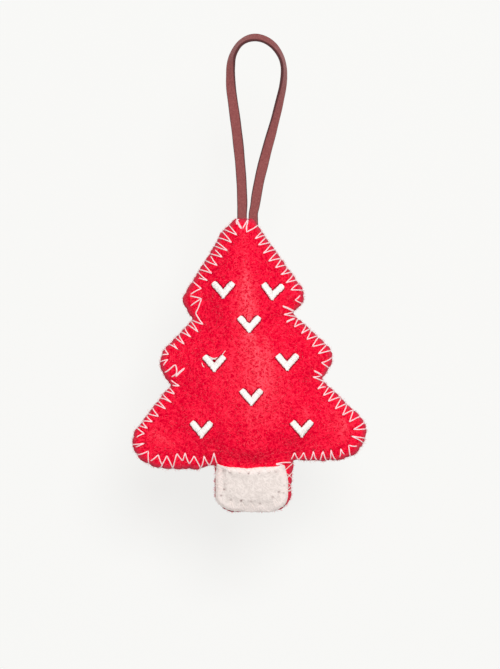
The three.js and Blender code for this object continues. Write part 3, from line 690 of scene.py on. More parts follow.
# %% Zigzag stitches: hole x, y, then each leg's outer end x, y
STITCHES = np.array([
    (246.6, 232.4, 247.7, 221.0, 256.6, 226.6), (255.4, 238.8, 260.0, 232.7, 264.6, 235.2),
    (258.7, 245.2, 264.6, 239.1, 269.3, 242.7), (263.6, 253.4, 269.6, 245.9, 274.3, 250.2),
    (268.9, 261.3, 275.4, 253.8, 280.4, 258.4), (275.7, 267.7, 279.3, 260.6, 285.4, 264.9),
    (281.1, 274.5, 286.1, 268.4, 291.1, 272.4), (286.1, 282.7, 292.5, 275.6, 296.4, 280.2),
    (291.0, 290.0, 297.1, 284.5, 301.4, 291.5), (295.0, 300.5, 300.0, 295.5, 300.9, 302.7),
    (284.1, 314.5, 291.8, 311.8, 294.1, 318.2), (294.5, 326.8, 296.4, 320.5, 303.2, 323.6),
    (301.4, 333.2, 305.0, 326.8, 309.1, 329.1), (306.8, 339.1, 309.5, 331.4, 316.4, 336.8),
    (312.3, 346.4, 316.4, 339.1, 323.6, 344.5), (318.2, 353.6, 325.0, 345.9, 329.5, 351.4),
    (321.4, 362.7, 330.0, 357.3, 327.3, 367.3), (313.2, 376.8, 320.0, 375.9, 324.5, 381.4),
    (317.7, 388.6, 322.3, 382.7, 325.5, 386.8), (323.2, 395.0, 328.2, 387.7, 332.7, 391.4),
    (328.2, 400.9, 332.7, 393.2, 338.6, 397.7), (334.9, 408.5, 340.0, 399.1, 345.5, 404.8),
    (342.2, 414.8, 345.5, 405.0, 353.0, 410.5), (349.0, 421.5, 353.0, 410.5, 359.0, 417.5),
    (353.0, 429.0, 364.0, 422.0, 364.5, 429.0), (351.0, 435.8, 364.0, 437.5, 361.0, 441.8),
    (348.5, 445.0, 356.5, 445.8, 350.0, 455.0), (340.5, 448.5, 344.0, 454.0, 339.5, 456.5),
    (330.7, 449.5, 335.5, 458.5, 330.0, 458.0), (322.8, 451.0, 326.0, 459.0, 319.5, 458.5),
    (313.2, 451.2, 317.5, 458.5, 309.5, 459.0), (303.5, 452.5, 307.0, 458.5, 299.0, 459.5),
    (294.5, 452.5, 298.5, 459.5, 291.0, 459.0), (283.8, 471.0, 291.8, 462.5, 292.9, 477.2),
    (283.8, 480.0, 292.9, 472.8, 292.9, 484.3), (283.0, 491.5, 292.9, 485.0, 292.6, 489.9),
    (278.8, 491.2, 292.4, 490.3, 286.0, 506.0), (272.8, 496.2, 284.5, 507.0, 276.0, 510.6),
    (260.0, 502.8, 267.0, 511.4, 257.0, 511.6),
    (251.0, 500.5, 255.5, 511.6, 246.5, 511.6), (241.2, 499.8, 245.0, 511.6, 236.0, 511.4),
    (231.0, 499.0, 234.5, 511.4, 226.5, 509.8), (221.2, 494.8, 219.5, 506.5, 215.6, 500.0),
    (224.2, 488.5, 215.0, 492.0, 214.8, 485.5), (224.7, 483.6, 214.8, 483.5, 214.8, 477.0),
    (223.5, 469.8, 214.8, 474.0, 215.2, 466.0), (214.0, 452.6, 217.1, 462.9, 209.3, 464.3),
    (204.3, 455.7, 209.3, 464.3, 200.0, 465.7), (194.3, 455.7, 200.0, 465.7, 189.3, 463.6),
    (185.4, 452.6, 189.3, 463.6, 182.9, 460.7), (177.1, 453.1, 182.9, 460.7, 172.9, 466.4),
    (167.1, 455.4, 172.9, 466.4, 161.0, 465.5), (158.6, 454.3, 163.0, 465.5, 150.7, 460.7),
    (148.6, 450.7, 149.3, 462.1, 138.6, 453.1), (144.6, 442.9, 136.2, 446.6, 135.0, 444.3),
    (144.6, 433.1, 136.9, 437.1, 136.9, 427.9), (147.6, 427.9, 138.6, 425.4, 141.7, 421.4),
    (152.6, 421.4, 142.9, 420.3, 146.4, 415.3), (158.6, 416.0, 149.3, 414.3, 153.0, 408.6),
    (165.7, 408.6, 155.7, 404.3, 158.6, 401.4), (171.4, 402.1, 161.4, 398.6, 163.6, 394.3),
    (174.3, 393.6, 166.4, 391.4, 169.3, 387.9), (179.3, 385.7, 172.9, 385.0, 171.4, 380.0),
    (167.9, 359.3, 163.8, 365.4, 157.5, 361.5), (168.3, 354.3, 160.5, 354.5, 165.9, 349.5),
    (177.9, 349.3, 170.4, 345.7, 173.9, 343.6), (184.3, 343.9, 177.1, 339.3, 180.4, 336.4),
    (190.7, 336.8, 181.8, 332.9, 186.1, 329.3), (197.9, 331.8, 188.6, 325.4, 192.1, 322.5),
    (203.0, 324.3, 193.6, 320.4, 196.4, 314.0), (201.6, 298.8, 190.7, 306.1, 190.0, 296.1),
    (201.2, 288.6, 190.7, 294.6, 194.0, 281.9), (207.2, 280.6, 199.0, 278.2, 199.9, 272.7),
    (211.6, 273.4, 200.6, 270.6, 205.2, 265.2), (217.0, 265.6, 206.6, 261.6, 210.9, 256.3),
    (222.0, 257.4, 211.6, 254.9, 215.2, 250.2), (227.4, 250.9, 215.6, 247.0, 217.7, 242.7),
    (231.3, 242.7, 219.9, 238.4, 224.1, 233.4), (236.8, 235.4, 225.2, 230.9, 229.5, 226.3),
])
holes = from_photo(STITCHES[:, :2])
leg_ends = from_photo(STITCHES[:, 2:].reshape(-1, 2, 2))
print("stitches:", len(holes))

# %% Knots and stray strands that lie on the felt, as lines in photograph pixels
STRAYS_PX = [
    [(236.6, 219.1), (239.4, 225.0), (242, 229.5)], [(237, 222.7), (239, 226.2), (240.9, 229.1)],
    [(238.9, 219.9), (236.6, 222.2), (237.2, 224.9)],
    [(242.7, 229.1), (247.7, 221), (245.9, 229.9)],
    [(201.8, 299.3), (197.9, 310), (196.4, 312.9), (197.3, 315), (203, 324.3)],
    [(164.2, 372.6), (168, 370.8), (175.9, 365), (177, 372.9), (171.4, 377.2)],
    [(175.6, 376.2), (180.4, 371.4), (185.2, 367.8)], [(176.4, 376.6), (181, 372.2), (185, 368.6)],
    [(282.3, 306.1), (287, 307.7), (293.6, 311)],
    [(282.6, 306.8), (287, 308.5), (293.2, 311.6)], [(286.2, 322.5), (290, 320.6), (294.1, 319.1)],
    [(286.4, 321.7), (290, 319.9), (294.3, 318.6)],
    [(313.6, 370.4), (317.4, 372.3), (321.4, 374.9)],
    [(314, 371.2), (317.5, 373.0), (321.2, 375.5)],
    [(275.5, 463), (283, 461.7), (291, 462)], [(276, 463.5), (279, 464.3), (282, 464.5)],
]
print("stray strands:", len(STRAYS_PX))

# %% [markdown]
# ## Scallops where the floss pulls the edge in
#
# Each leg pulls the soft edge in where it crosses, so the edge bulges a little between the legs.
# A leg that ends well inside the outline goes down through the felt there and pulls less. A
# simulation could find the pull, but it is small and regular: the deepest of narrow bell curves
# along the outline, one for each leg. A few slow waves keep the cut from being too even.

# %% Where each leg crosses the edge, and how hard it pulls
THROUGH_DEPTH = 1.15  # a leg that ends farther inside goes through the felt, not round its edge
PULL_WIDTH = 0.62
flat_ends = leg_ends.reshape(-1, 2)


def nearest_on_outline(points):
    """The number of the outline point nearest to each point."""
    return np.linalg.norm(points[:, None] - outline[None], axis=-1).argmin(1)


edge_index = nearest_on_outline(flat_ends)
inside_by = ((outline[edge_index] - flat_ends) * outward[edge_index]).sum(-1)
through = inside_by > THROUGH_DEPTH
pull = np.where(through, 0.3, np.clip(0.28 + 0.3 * (inside_by - 0.5), 0.25, 0.5))
away_from_leg = np.abs(outline_s[:-1, None] - outline_s[edge_index][None])
away_from_leg = np.minimum(away_from_leg, OUTLINE_LENGTH - away_from_leg)
pulled = (pull * np.exp(-((away_from_leg / PULL_WIDTH) ** 2))).max(1)
print("deepest pull in mm:", round(float(pulled.max()), 2))

# %% The edge with its scallops and slow waves
rng = np.random.default_rng(7)
WAVES = np.arange(9, 60)
angle = outline_s[:-1, None] / OUTLINE_LENGTH * 2 * math.pi
swings = np.sin(angle * WAVES + rng.uniform(0, 6.28, len(WAVES)))
wobble = (swings * rng.normal(0, 0.03, len(WAVES))).sum(1)
edge = outline + outward * (0.05 + wobble - pulled)[:, None]
print("waves in mm:", round(float(wobble.min()), 2), round(float(wobble.max()), 2))

# %% [markdown]
# ## The pillow's height
#
# The filling lifts each felt away from the seam, steeply at first and then hardly any more. The
# distance to the seam has to be smooth, or the felt would get creases down the middle of each
# branch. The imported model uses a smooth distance: the edge's length weighed by one over its
# distance cubed, summed exactly over each straight piece. The same formula here keeps both in one
# shape.

# %% Height of the felt over the seam
FELT_THICK = 2.0
CROWN, FULL_REACH = 8.4, 18.0
MOUTH_LIFT = LACE_THICK / 2 + SEAT_GAP - SEAM_GAP / 2
MOUTH_HALF = leg_offset + LACE_WIDTH / 2 + 0.4
coarse_edge = outline[::4]


def seam_distance(points):
    """sqrt(2 / sum over edge pieces of ((L-a)/|L-a,off| + a/|a,off|)/off^2), off square to a."""
    a, b = coarse_edge, np.roll(coarse_edge, -1, 0)
    length = np.linalg.norm(b - a, axis=1)
    way = (b - a) / length[:, None]

    def distance(block):
        p = block[:, None] - a[None]
        along = (p * way).sum(-1)
        off = np.maximum(np.abs(p[..., 0] * way[:, 1] - p[..., 1] * way[:, 0]), 0.001)
        part = (length - along) / np.hypot(length - along, off) + along / np.hypot(along, off)
        return np.sqrt(2 / (part / off**2).sum(1))

    return in_blocks(distance, points, 20000)


def swell(points):
    """The felt's inner face over the seam's middle, from the filling and from the lace's ends."""
    lift = CROWN * (1 - (1 - np.minimum(1, seam_distance(points) / FULL_REACH)) ** 2)
    beside = smooth_step(np.abs(points[:, 0] - mouth_x), MOUTH_HALF, MOUTH_HALF + 3)
    below = smooth_step(tip_z - points[:, 1], 0, 6)
    return SEAM_GAP / 2 + lift + MOUTH_LIFT * (1 - beside) * (1 - below)


# %% Rings from the edge to the middle line
def ring_points(start, inset):
    """A ring of points moved in towards the hubs by inset, measured square to the edge."""
    way = hubs - start
    reach = np.linalg.norm(way, axis=1)
    cosine = np.maximum(0.5, -(way / reach[:, None] * outward).sum(1))
    return start + way * np.minimum(inset / cosine / reach, 0.6)[:, None]


def between(start, end, shares):
    """Rings at shares of the way from one ring to another."""
    return [start + (end - start) * t for t in shares]


def welded_middle(first):
    """Point numbers of a ring on the middle line, the left side's joined to the right side's."""
    return first + side_index


# Corner orders with which a quad of the front, -1, and of the back, 1, faces outwards
FACING = {-1: [3, 2, 1, 0], 1: [1, 2, 3, 0]}

# %% [markdown]
# ## Lumps from a cloth simulation
#
# A stuffed felt isn't evenly round: it buckles between stitches and bulges where the fibre is
# packed. A coarse pillow with its rim held still is blown up gently as cloth that is a little too
# large for its shape. Where it settles differs from the smooth height, and that difference is
# kept as lumps.

# %% A coarse pillow
PILLOW_SCALE = 0.01  # the pillow is simulated ten times its size, which cloth settings suit better
pick = np.unique(np.concatenate([np.arange(0, COUNT, 5), [SIDE]]))


def coarse_pillow():
    """Spots of the coarse rings, their heights, and the mesh of both sides joined at the rim."""
    rim, hub = outline[pick], hubs[pick]
    rings = between(rim, hub, (0, 0.12, 0.26, 0.42, 0.6, 0.8, 1.0))
    rings += between(hub, spine[pick], (0.3, 0.65, 1.0))
    flat = np.concatenate(rings)
    height = swell(flat) + FELT_THICK / 2
    n, layers = len(pick), len(rings)
    height[:n] = 0
    front = np.stack([flat[:, 0], -height, flat[:, 1]], -1)
    points = np.concatenate([front, front[n:] * [1, -1, 1]])
    grid = np.arange(n * layers).reshape(layers, n)
    behind = np.concatenate([grid[:1], grid[1:] + n * (layers - 1)])
    quads = np.concatenate([ring_quads(grid)[:, FACING[-1]], ring_quads(behind)[:, FACING[1]]])
    mesh = bpy.data.meshes.new("pillow")
    mesh.from_pydata((points * PILLOW_SCALE).tolist(), [], quads.tolist())
    return flat, height, mesh


# %% Blow it up
CLOTH_FRAMES = 24


def blown_up(mesh):
    """The mesh's points in millimetres after the cloth has settled, with its first ring held."""
    scene = bpy.context.scene
    pillow = bpy.data.objects.new("pillow", mesh)
    scene.collection.objects.link(pillow)
    rim = pillow.vertex_groups.new(name="rim")
    rim.add(list(range(len(pick))), 1.0, "REPLACE")
    cloth = pillow.modifiers.new("cloth", "CLOTH")
    cloth.settings.quality = 6
    cloth.settings.mass = 0.3
    cloth.settings.effector_weights.gravity = 0
    cloth.settings.use_pressure = True
    cloth.settings.uniform_pressure_force = 2.2
    cloth.settings.shrink_min = -0.035
    cloth.settings.tension_stiffness = cloth.settings.compression_stiffness = 25
    cloth.settings.bending_stiffness = 0.6
    cloth.settings.vertex_group_mass = "rim"
    cloth.collision_settings.use_collision = False
    cloth.point_cache.frame_start, cloth.point_cache.frame_end = 1, CLOTH_FRAMES
    for number in range(1, CLOTH_FRAMES + 1):
        scene.frame_set(number)
    shown = pillow.evaluated_get(bpy.context.evaluated_depsgraph_get())
    settled = np.empty(len(mesh.vertices) * 3, np.float32)
    shown.data.vertices.foreach_get("co", settled)
    scene.frame_set(1)
    bpy.data.objects.remove(pillow)
    return settled.reshape(-1, 3) / PILLOW_SCALE


def pillow_lumps():
    """The coarse pillow's spots, and how far the front and the back settle over its height."""
    flat, height, mesh = coarse_pillow()
    settled = blown_up(mesh)
    bpy.data.meshes.remove(mesh)
    n, front = len(pick), len(flat)
    back_rise = np.concatenate([np.zeros(n), settled[front:, 1] - height[n:]])
    return flat, -settled[:front, 1] - height, back_rise


lump_spots, front_lumps, back_lumps = pillow_lumps()
print("lumps in mm:", round(float(front_lumps.min()), 2), round(float(front_lumps.max()), 2))

# %% Lumps on a grid, so that any piece can ask for them
LUMP_LIMIT = 0.7
GRID_LOW = np.array([-54.0, -194.0])
GRID_SIZE = (108, 130)
grid_lines = (low + np.arange(n) for low, n in zip(GRID_LOW, GRID_SIZE))
grid_spots = np.stack(np.meshgrid(*grid_lines, indexing="ij"), -1).reshape(-1, 2)


def lump_grid(values):
    """What stands out near each grid spot: the mean weighed by 1 / (distance^2 + 6)^2, less the
    mean weighed by 1 / (distance^2 + 90)^2, on a 1 mm grid, held under the limit by a soft curve.
    """

    def standing_out(block):
        square = ((block[:, None] - lump_spots[None]) ** 2).sum(-1)
        near, wide = 1 / (square + 6.0) ** 2, 1 / (square + 90.0) ** 2
        return near @ values / near.sum(1) - wide @ values / wide.sum(1)

    grid = in_blocks(standing_out, grid_spots, 2000)
    return (LUMP_LIMIT * np.tanh(grid / LUMP_LIMIT)).reshape(GRID_SIZE)


def on_grid(grid, points):
    """A grid's value at points, weighed linearly between its four nearest spots."""
    at = np.clip(points - GRID_LOW, 0, np.array(GRID_SIZE) - 1.001)
    i = at.astype(int)
    t = at - i
    x, z = i[:, 0], i[:, 1]
    low = grid[x, z] * (1 - t[:, 0]) + grid[x + 1, z] * t[:, 0]
    high = grid[x, z + 1] * (1 - t[:, 0]) + grid[x + 1, z + 1] * t[:, 0]
    return low * (1 - t[:, 1]) + high * t[:, 1]


FRONT_LUMPS, BACK_LUMPS = lump_grid(front_lumps), lump_grid(back_lumps)
print("lumps kept, in mm:", round(float(FRONT_LUMPS.min()), 2), round(float(FRONT_LUMPS.max()), 2))

# %% [markdown]
# ## Puckers, dents and grooves
#
# A simulation gives some stuffed tree, but the photograph shows this one: a broad ridge down from
# the tip, hollows beside the chevrons and in the lower branches, and a pucker over the patch. So
# these are listed as stretched bell curves in the height. Every needle hole is a small dent, and
# each leg of floss presses a shallow groove.

# %% Hollows and ridges in photograph pixels: x, y, width, height, turn in degrees, lift in mm
PUCKERS = [
    (205, 315, 12, 20, 20, -0.5), (180, 362, 10, 18, 20, -0.5), (215, 446, 5, 17, 6, -0.9),
    (322, 446, 26, 8, -4, -0.6), (246, 280, 16, 60, 0, 0.25), (255, 400, 60, 48, 0, 1.7),
    (200, 402, 16, 12, 40, -0.4), (348, 430, 12, 9, 0, -0.4), (152, 441, 24, 16, 0, -0.9),
]
# The ridge down the middle: its x at each y
RIDGE_PX = np.array([(243, 215), (243, 300), (250, 335), (257, 372), (253, 415), (250, 520)])
RIDGE_LOW, RIDGE_RISE = 0.9, 2.1  # mm, at the tip and what the height below adds


def puckered(points):
    """The sum of stretched bell curves at points, plus rise (exp(-(beside / width)^2) - 0.75) for
    the ridge, whose rise and width grow downwards.
    """
    total = np.zeros(len(points))
    for x, y, wide, high, turn, lift in PUCKERS:
        step = points - from_photo((x, y))
        c, s = math.cos(math.radians(turn)), math.sin(math.radians(turn))
        u = (step[:, 0] * c + step[:, 1] * s) / (wide * PIXEL)
        v = (step[:, 1] * c - step[:, 0] * s) / (high * PIXEL)
        total += lift * np.exp(-0.5 * (u * u + v * v))
    ridge = from_photo(RIDGE_PX)
    beside = points[:, 0] - np.interp(-points[:, 1], -ridge[:, 1], ridge[:, 0])
    down = smooth_step(tip_z - points[:, 1], 8, 70)
    bell = np.exp(-((beside / (11 + 7 * down)) ** 2)) - 0.75
    return total + (RIDGE_LOW + RIDGE_RISE * down) * bell


# %% Dents and grooves as bell curves round lines
def to_segment(points, start, end):
    """The distance from each point to each segment, (points, segments)."""
    run = end - start
    t = ((points[:, None] - start) * run).sum(-1) / np.maximum((run**2).sum(-1), 1e-9)
    return np.linalg.norm(points[:, None] - start - np.clip(t, 0, 1)[..., None] * run, axis=-1)


def bells(points, start, end, depth, width):
    """The highest of bell curves depth exp(-(off / width)^2), off being the way to each segment."""

    def highest(block):
        return (depth * np.exp(-((to_segment(block, start, end) / width) ** 2))).max(1)

    return in_blocks(highest, points, 8000)


def bells_at(points, spots, depth, width):
    """The same round spots, as segments with next to no length."""
    return bells(points, spots, spots + 1e-6, depth, width)


# %% The felts' heights
TRUNK_TOP = 26.0  # mm over the foot, where the patch begins to hold the trunk flat
PROUD, FLATTENED = 3.6, 0.75


def broad_height(points, lumps):
    """The felt's inner face with lumps and puckers, but without its small dents.

    In the trunk the part over 3.6 mm, x, is cut down by 0.75 x^2 / (x + 1), as the patch holds it
    flat.
    """
    base = swell(points)
    hold = smooth_step(base, 0.5, 8.0)
    shape = base + hold * (on_grid(lumps, points) + puckered(points) * (lumps is FRONT_LUMPS))
    trunk = smooth_step(foot_z + TRUNK_TOP - points[:, 1], 0, 8)
    proud = np.maximum(shape - PROUD, 0)
    return shape - trunk * FLATTENED * proud**2 / (proud + 1)


def front_top(points):
    """The front felt's outer face over the seam's middle."""
    return broad_height(points, FRONT_LUMPS) + FELT_THICK


def back_top(points):
    """The back felt's outer face over the seam's middle."""
    return broad_height(points, BACK_LUMPS) + FELT_THICK


# %% Places on a face
def normals_on(face, points, sign):
    """Unit vectors off a face, from its slope: (-dh/dx, sign, -dh/dz) scaled to one."""
    step = 0.25
    slope_x = (face(points + [step, 0]) - face(points - [step, 0])) / (2 * step)
    slope_z = (face(points + [0, step]) - face(points - [0, step])) / (2 * step)
    return unit(np.stack([-slope_x, np.full(len(points), float(sign)), -slope_z], -1))


def stand_up(flat, depth):
    """Flat places, x and z, and depths from the seam's middle, towards the back, as points."""
    return np.stack([flat[..., 0], depth, flat[..., 1]], -1)


def over_face(face, points, sign, lift):
    """Points lifted off a face, square to it, and the normals there."""
    flat = points.reshape(-1, 2)
    normal = normals_on(face, flat, sign)
    place = stand_up(flat, sign * face(flat))
    place = place + normal * np.broadcast_to(lift, points.shape[:-1]).reshape(-1, 1)
    return place.reshape(*points.shape[:-1], 3), normal.reshape(*points.shape[:-1], 3)


# %% [markdown]
# ## The two felts
#
# Each felt is a sheet 2 mm thick: an outer face, a rounded cut edge and an inner face. Solidify
# could thicken a single face, but here the cut edge has a shape of its own, so all three are
# rings of one surface. It has a line for each outline point, run in to the middle line, with
# rings close together near the edge where the stitches are. The dents and grooves are worked out
# for all points at once.

# %% Rings of one felt
INSETS = np.concatenate([[0.95], 1.2 + 0.26 * np.arange(18), [6.2, 6.9]])
HUB_SHARES = np.linspace(0, 1, 12)[1:]
SPINE_SHARES = np.linspace(0, 1, 21)[1:]
INNER_INSETS = (1.2, 3.0, 5.2)
WALL = ((0.3, 0.0), (0.06, 0.3), (0.0, 0.7))  # the cut edge: how far in, how far up
ROUNDING = 0.85
DENT, DENT_WIDTH = 0.62, 0.62
GROOVE, GROOVE_WIDTH = 0.28, 0.5
deepest = ring_points(edge, INSETS[-1])


def outer_rings(lumps, leg_start, leg_end, hole_spots):
    """The outer face from the edge to the middle, with dents at holes and grooves under legs."""
    flat = [ring_points(edge, inset) for inset in INSETS]
    flat += between(deepest, hubs, HUB_SHARES) + between(hubs, spine, SPINE_SHARES)
    spots = np.array(flat).reshape(-1, 2)
    dents = bells_at(spots, hole_spots, DENT, DENT_WIDTH)
    grooves = bells(spots, leg_start, leg_end, GROOVE, GROOVE_WIDTH)
    height = broad_height(spots, lumps) + FELT_THICK - np.maximum(dents, grooves)
    return list(zip(flat, height.reshape(-1, COUNT)))


def edge_rings():
    """The cut edge and the round over it, where r (1 - sin, 1 - cos) of an angle is taken away."""
    low = swell(outline)
    rings = [(ring_points(edge, inset), low + rise) for inset, rise in WALL]
    for turn in np.radians([0, 22, 45, 67, 84]):
        spot = ring_points(edge, ROUNDING * (1 - math.cos(turn)))
        thick = FELT_THICK - 0.5 * pulled - ROUNDING * (1 - math.sin(turn))
        rings.append((spot, np.maximum(swell(spot), low) + thick))
    return rings


def inner_rings(lumps):
    """The inner face from the middle line back to the edge, on fewer rings."""
    flat = [ring_points(edge, inset) for inset in INNER_INSETS]
    flat += between(deepest, hubs, (0.35,)) + [hubs] + between(hubs, spine, (0.5,)) + [spine]
    height = broad_height(np.concatenate(flat), lumps).reshape(-1, COUNT)
    return list(zip(flat, height))[::-1]


# %% Faces of one felt
def without_doubles(quads):
    """Quads, and triangles for those that the welded middle line pinches to three corners."""
    pinched = (quads == np.roll(quads, -1, 1)).any(1)
    keep = [list(dict.fromkeys(q)) for q in quads[pinched].tolist()]
    return quads[~pinched], np.array([q for q in keep if len(q) == 3], int).reshape(-1, 3)


def felt_panel(name, lumps, sign, leg_start, leg_end, hole_spots):
    """A felt of inner face, cut edge and outer face, with its edge and needle holes marked."""
    rings = inner_rings(lumps) + edge_rings() + outer_rings(lumps, leg_start, leg_end, hole_spots)
    flat, height = (np.array(values) for values in zip(*rings))
    points = stand_up(flat, sign * height).reshape(-1, 3)
    # cut marks the rim, where shade and sheen are painted, and hole marks the needle holes, where
    # shade is painted.
    from_edge = np.linalg.norm(flat - edge, axis=-1).ravel()
    cut = 1 - smooth_step(from_edge, 0.4, 2.6)
    outside = points[:, 1] * sign > 1
    hole = bells_at(points[:, ::2], hole_spots, 1.0, 0.36) * outside
    grid = np.arange(len(points)).reshape(len(rings), COUNT)
    grid[0], grid[-1] = welded_middle(grid[0, 0]), welded_middle(grid[-1, 0])
    quads, triangles = without_doubles(ring_quads(grid)[:, FACING[sign]])
    used = np.unique(grid)
    faces = [np.searchsorted(used, quads), np.searchsorted(used, triangles)]
    return make_piece(
        name, points[used], faces, RED_FELT, "red_felt", cut=cut[used], hole=hole[used]
    )


# %% The front felt
leg_starts = np.repeat(holes, 2, axis=0)
front = felt_panel("front_felt_skin", FRONT_LUMPS, -1, leg_starts, flat_ends, holes)
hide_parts("front_felt")
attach(front, "tree")

# %% The back felt, with its holes between the front ones
BACK_INSET = 3.9
back_middle = (leg_ends[:, 1] + np.roll(leg_ends, -1, 0)[:, 0]) / 2
back_index = nearest_on_outline(back_middle)
back_holes = edge[back_index] - outward[back_index] * BACK_INSET
leg_back = np.stack([np.roll(back_holes, 1, 0), back_holes], 1).reshape(-1, 2)
back = felt_panel("back_felt_skin", BACK_LUMPS, 1, edge[edge_index], leg_back, back_holes)
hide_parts("back_felt")
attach(back, "tree")

# %% [markdown]
# ## The filling
#
# Loose white fibre fills the space between the felts. It hardly shows, but it is there if a felt
# is hidden or recoloured. Strands by the thousand would weigh much for that, so it is one lumpy
# body: a stack of level sections, each from the left edge to the right edge of the tree at its
# height, less the seam, with waves of several sizes over it.

# %% How far the filling reaches
FILL_ROWS, FILL_SIDES = 96, 56
SEAM_CLEAR = 4.2
filling_z = np.linspace(foot_z + 3.9, tip_z - TAIL_LENGTH - 0.5, FILL_ROWS)


def reach_to(side):
    """How far each row goes from the middle line before the seam is nearer than 4.2 mm."""
    steps = np.arange(0, HALF_WIDTH + 2, 0.4)
    way = np.clip((filling_z - foot_z) / TREE_HEIGHT, 0, 1)
    spots = on_middle_line(way)[:, None] + np.stack([side * steps, 0 * steps], -1)
    clear = seam_distance(spots.reshape(-1, 2)).reshape(FILL_ROWS, -1) > SEAM_CLEAR
    return spots[np.arange(FILL_ROWS), np.argmin(clear, 1), 0]


low_x, high_x = reach_to(-1), reach_to(1)
cells = np.linspace(0, 2 * math.pi, FILL_SIDES, endpoint=False)
row_x = low_x[:, None] + (high_x - low_x)[:, None] * (1 - np.cos(cells)) / 2
row_spots = np.stack([row_x, np.broadcast_to(filling_z[:, None], row_x.shape)], -1)
print("filling from x", round(float(low_x.min()), 1), "to", round(float(high_x.max()), 1))

# %% The filling's body
under_felt = [
    broad_height(row_spots.reshape(-1, 2), lumps).reshape(row_x.shape)
    for lumps in (FRONT_LUMPS, BACK_LUMPS)
]
cover = np.where(np.sin(cells) > 0, *under_felt)
room = seam_distance(row_spots.reshape(-1, 2)).reshape(row_x.shape)
lump_angle = row_x[..., None] * [0.9, 0.37, 1.7] + row_spots[..., 1:] * [0.5, 1.1, -1.3] + [0, 2, 4]
lumpy = 0.2 * np.sin(lump_angle).sum(-1)
depth = np.maximum(cover - 1.1 + lumpy, 0.25) * np.sin(cells)
depth *= smooth_step(np.minimum(room, 6), 1.5, 4.5) * 0.9 + 0.1
row = np.arange(FILL_ROWS)
fade = np.sqrt(np.clip(np.minimum(row, row[::-1]) / 4, 0, 1))[:, None]
points = stand_up(row_spots, -depth * (0.15 + 0.85 * fade)).reshape(-1, 3)
grid = np.arange(len(points)).reshape(row_x.shape)
faces = [ring_quads(grid), grid[:1, ::-1], grid[-1:]]
filling = make_piece("filling_fibre", points, faces, WHITE_FIBRE, "white_fibre")
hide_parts("fibre_filling")
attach(filling, "tree")

# %% [markdown]
# ## The pale patch
#
# A patch of thicker pale felt covers the trunk. It lies on the red felt, so its shape is the red
# felt's outer face plus its own thickness. Draping it as cloth would do no more, because it is
# sewn down all round. Needle holes pull small pits into it. Along its sides and foot the floss
# draws it up into a soft border, which fades out inwards and at the upper edge.

# %% Patch outline and pits in photograph pixels
PATCH_PX = [
    (216.5, 463.5), (225, 465.5), (235, 466.5), (247, 467.2), (257, 466.5), (267, 465.8),
    (277, 465.5), (284, 464.5), (286, 470), (287.8, 480), (288.2, 488), (287.6, 497),
    (285.5, 502.9), (280.8, 507.6), (272.6, 510.9), (261, 511.6), (249, 511.3), (239, 511),
    (232, 510.2), (224.7, 507.7), (218.6, 503.7), (216, 499.2), (215.6, 493), (215.4, 485),
    (215.6, 477), (216, 470),
]
PATCH_TOP_PX = np.array([
    (223.5, 469.8), (230, 471.5), (239.5, 472.2), (248.5, 472.2), (259, 472.2), (268.5, 471.5),
    (276, 471),
])
PATCH_PITS_PX = np.array([
    (284, 484.8), (278.8, 491.2), (283.5, 492), (272.8, 496.2), (231, 499), (241.2, 499.8),
    (251, 500.5), (260, 502.8), (224.2, 488.5), (221.2, 494.8), (224.7, 483.6),
])
PIT_DEPTHS = np.array([
    0.5, 0.6, 0.35, 1, 0.6, 0.35, 0.45, 0.35, 0.75, 0.45, 0.45, 0.5, 1, 0.45, 0.45, 0.75, 0.7, 0.4,
])
PATCH_THICK = 1.2
patch_line = from_photo(PATCH_PX + PATCH_PX[:1])
pits = from_photo(np.concatenate([PATCH_TOP_PX, PATCH_PITS_PX]))
patch_edge = resample(patch_line, step=0.3)[:-1]
patch_count = len(patch_edge)
patch_middle = patch_edge.mean(0)
patch_out = square_to(patch_edge)
if (patch_out * (patch_edge - patch_middle)).sum() < 0:
    patch_out = -patch_out
place = np.arange(patch_count)
jitter = np.sin(place * 0.9) * 0.05 + np.sin(place * 0.23 + 1) * 0.08
patch_edge = patch_edge + patch_out * jitter[:, None]
print("patch edge points:", patch_count, "pits:", len(pits))

# %% Patch rings and the border round them
PATCH_INSETS = 0.9 + 0.33 * np.arange(16)
PATCH_SHARES = np.linspace(0, 1, 12)[1:-1]
BORDER_LIFT = 1.2
patch_top_z = from_photo((250, 466))[1]


def patch_ring(inset):
    """The patch's outline moved in, at most to a little before its middle."""
    way = patch_middle - patch_edge
    reach = np.linalg.norm(way, axis=1)
    cosine = np.maximum(0.45, -(way / reach[:, None] * patch_out).sum(1))
    return patch_edge + way * np.minimum(inset / cosine / reach, 0.86)[:, None]


def border_over(points, inside):
    """How much the border is raised at points inside the edge. It fades out at the top edge."""
    fades = smooth_step(patch_top_z - points[:, 1], 0.5, 5)
    return BORDER_LIFT * (1 - smooth_step(inside, 0.2, 5.2)) * fades


# %% The patch's upper face, over the felt that it lies on
CHANNEL = 0.05
inmost = patch_ring(PATCH_INSETS[-1])
patch_flat = [patch_ring(i) for i in PATCH_INSETS] + between(inmost, patch_middle, PATCH_SHARES)
patch_spots = np.array(patch_flat).reshape(-1, 2)
pitted = bells_at(patch_spots, pits, 0.25 * PIT_DEPTHS, 0.4)
to_edge = to_segment(patch_spots, patch_edge[::3], np.roll(patch_edge[::3], -1, 0)).min(1)
channel = CHANNEL * np.exp(-(((to_edge - 3.4) / 1.1) ** 2))
wavy = 0.12 * np.sin(patch_spots[:, 0] * 0.55) * np.sin(patch_spots[:, 1] * 0.7 + 1)
border_lift = border_over(patch_spots, to_edge)
patch_height = front_top(patch_spots) + PATCH_THICK + border_lift - pitted - channel + wavy
print("patch height in mm:", patch_height.min().round(2), patch_height.max().round(2))

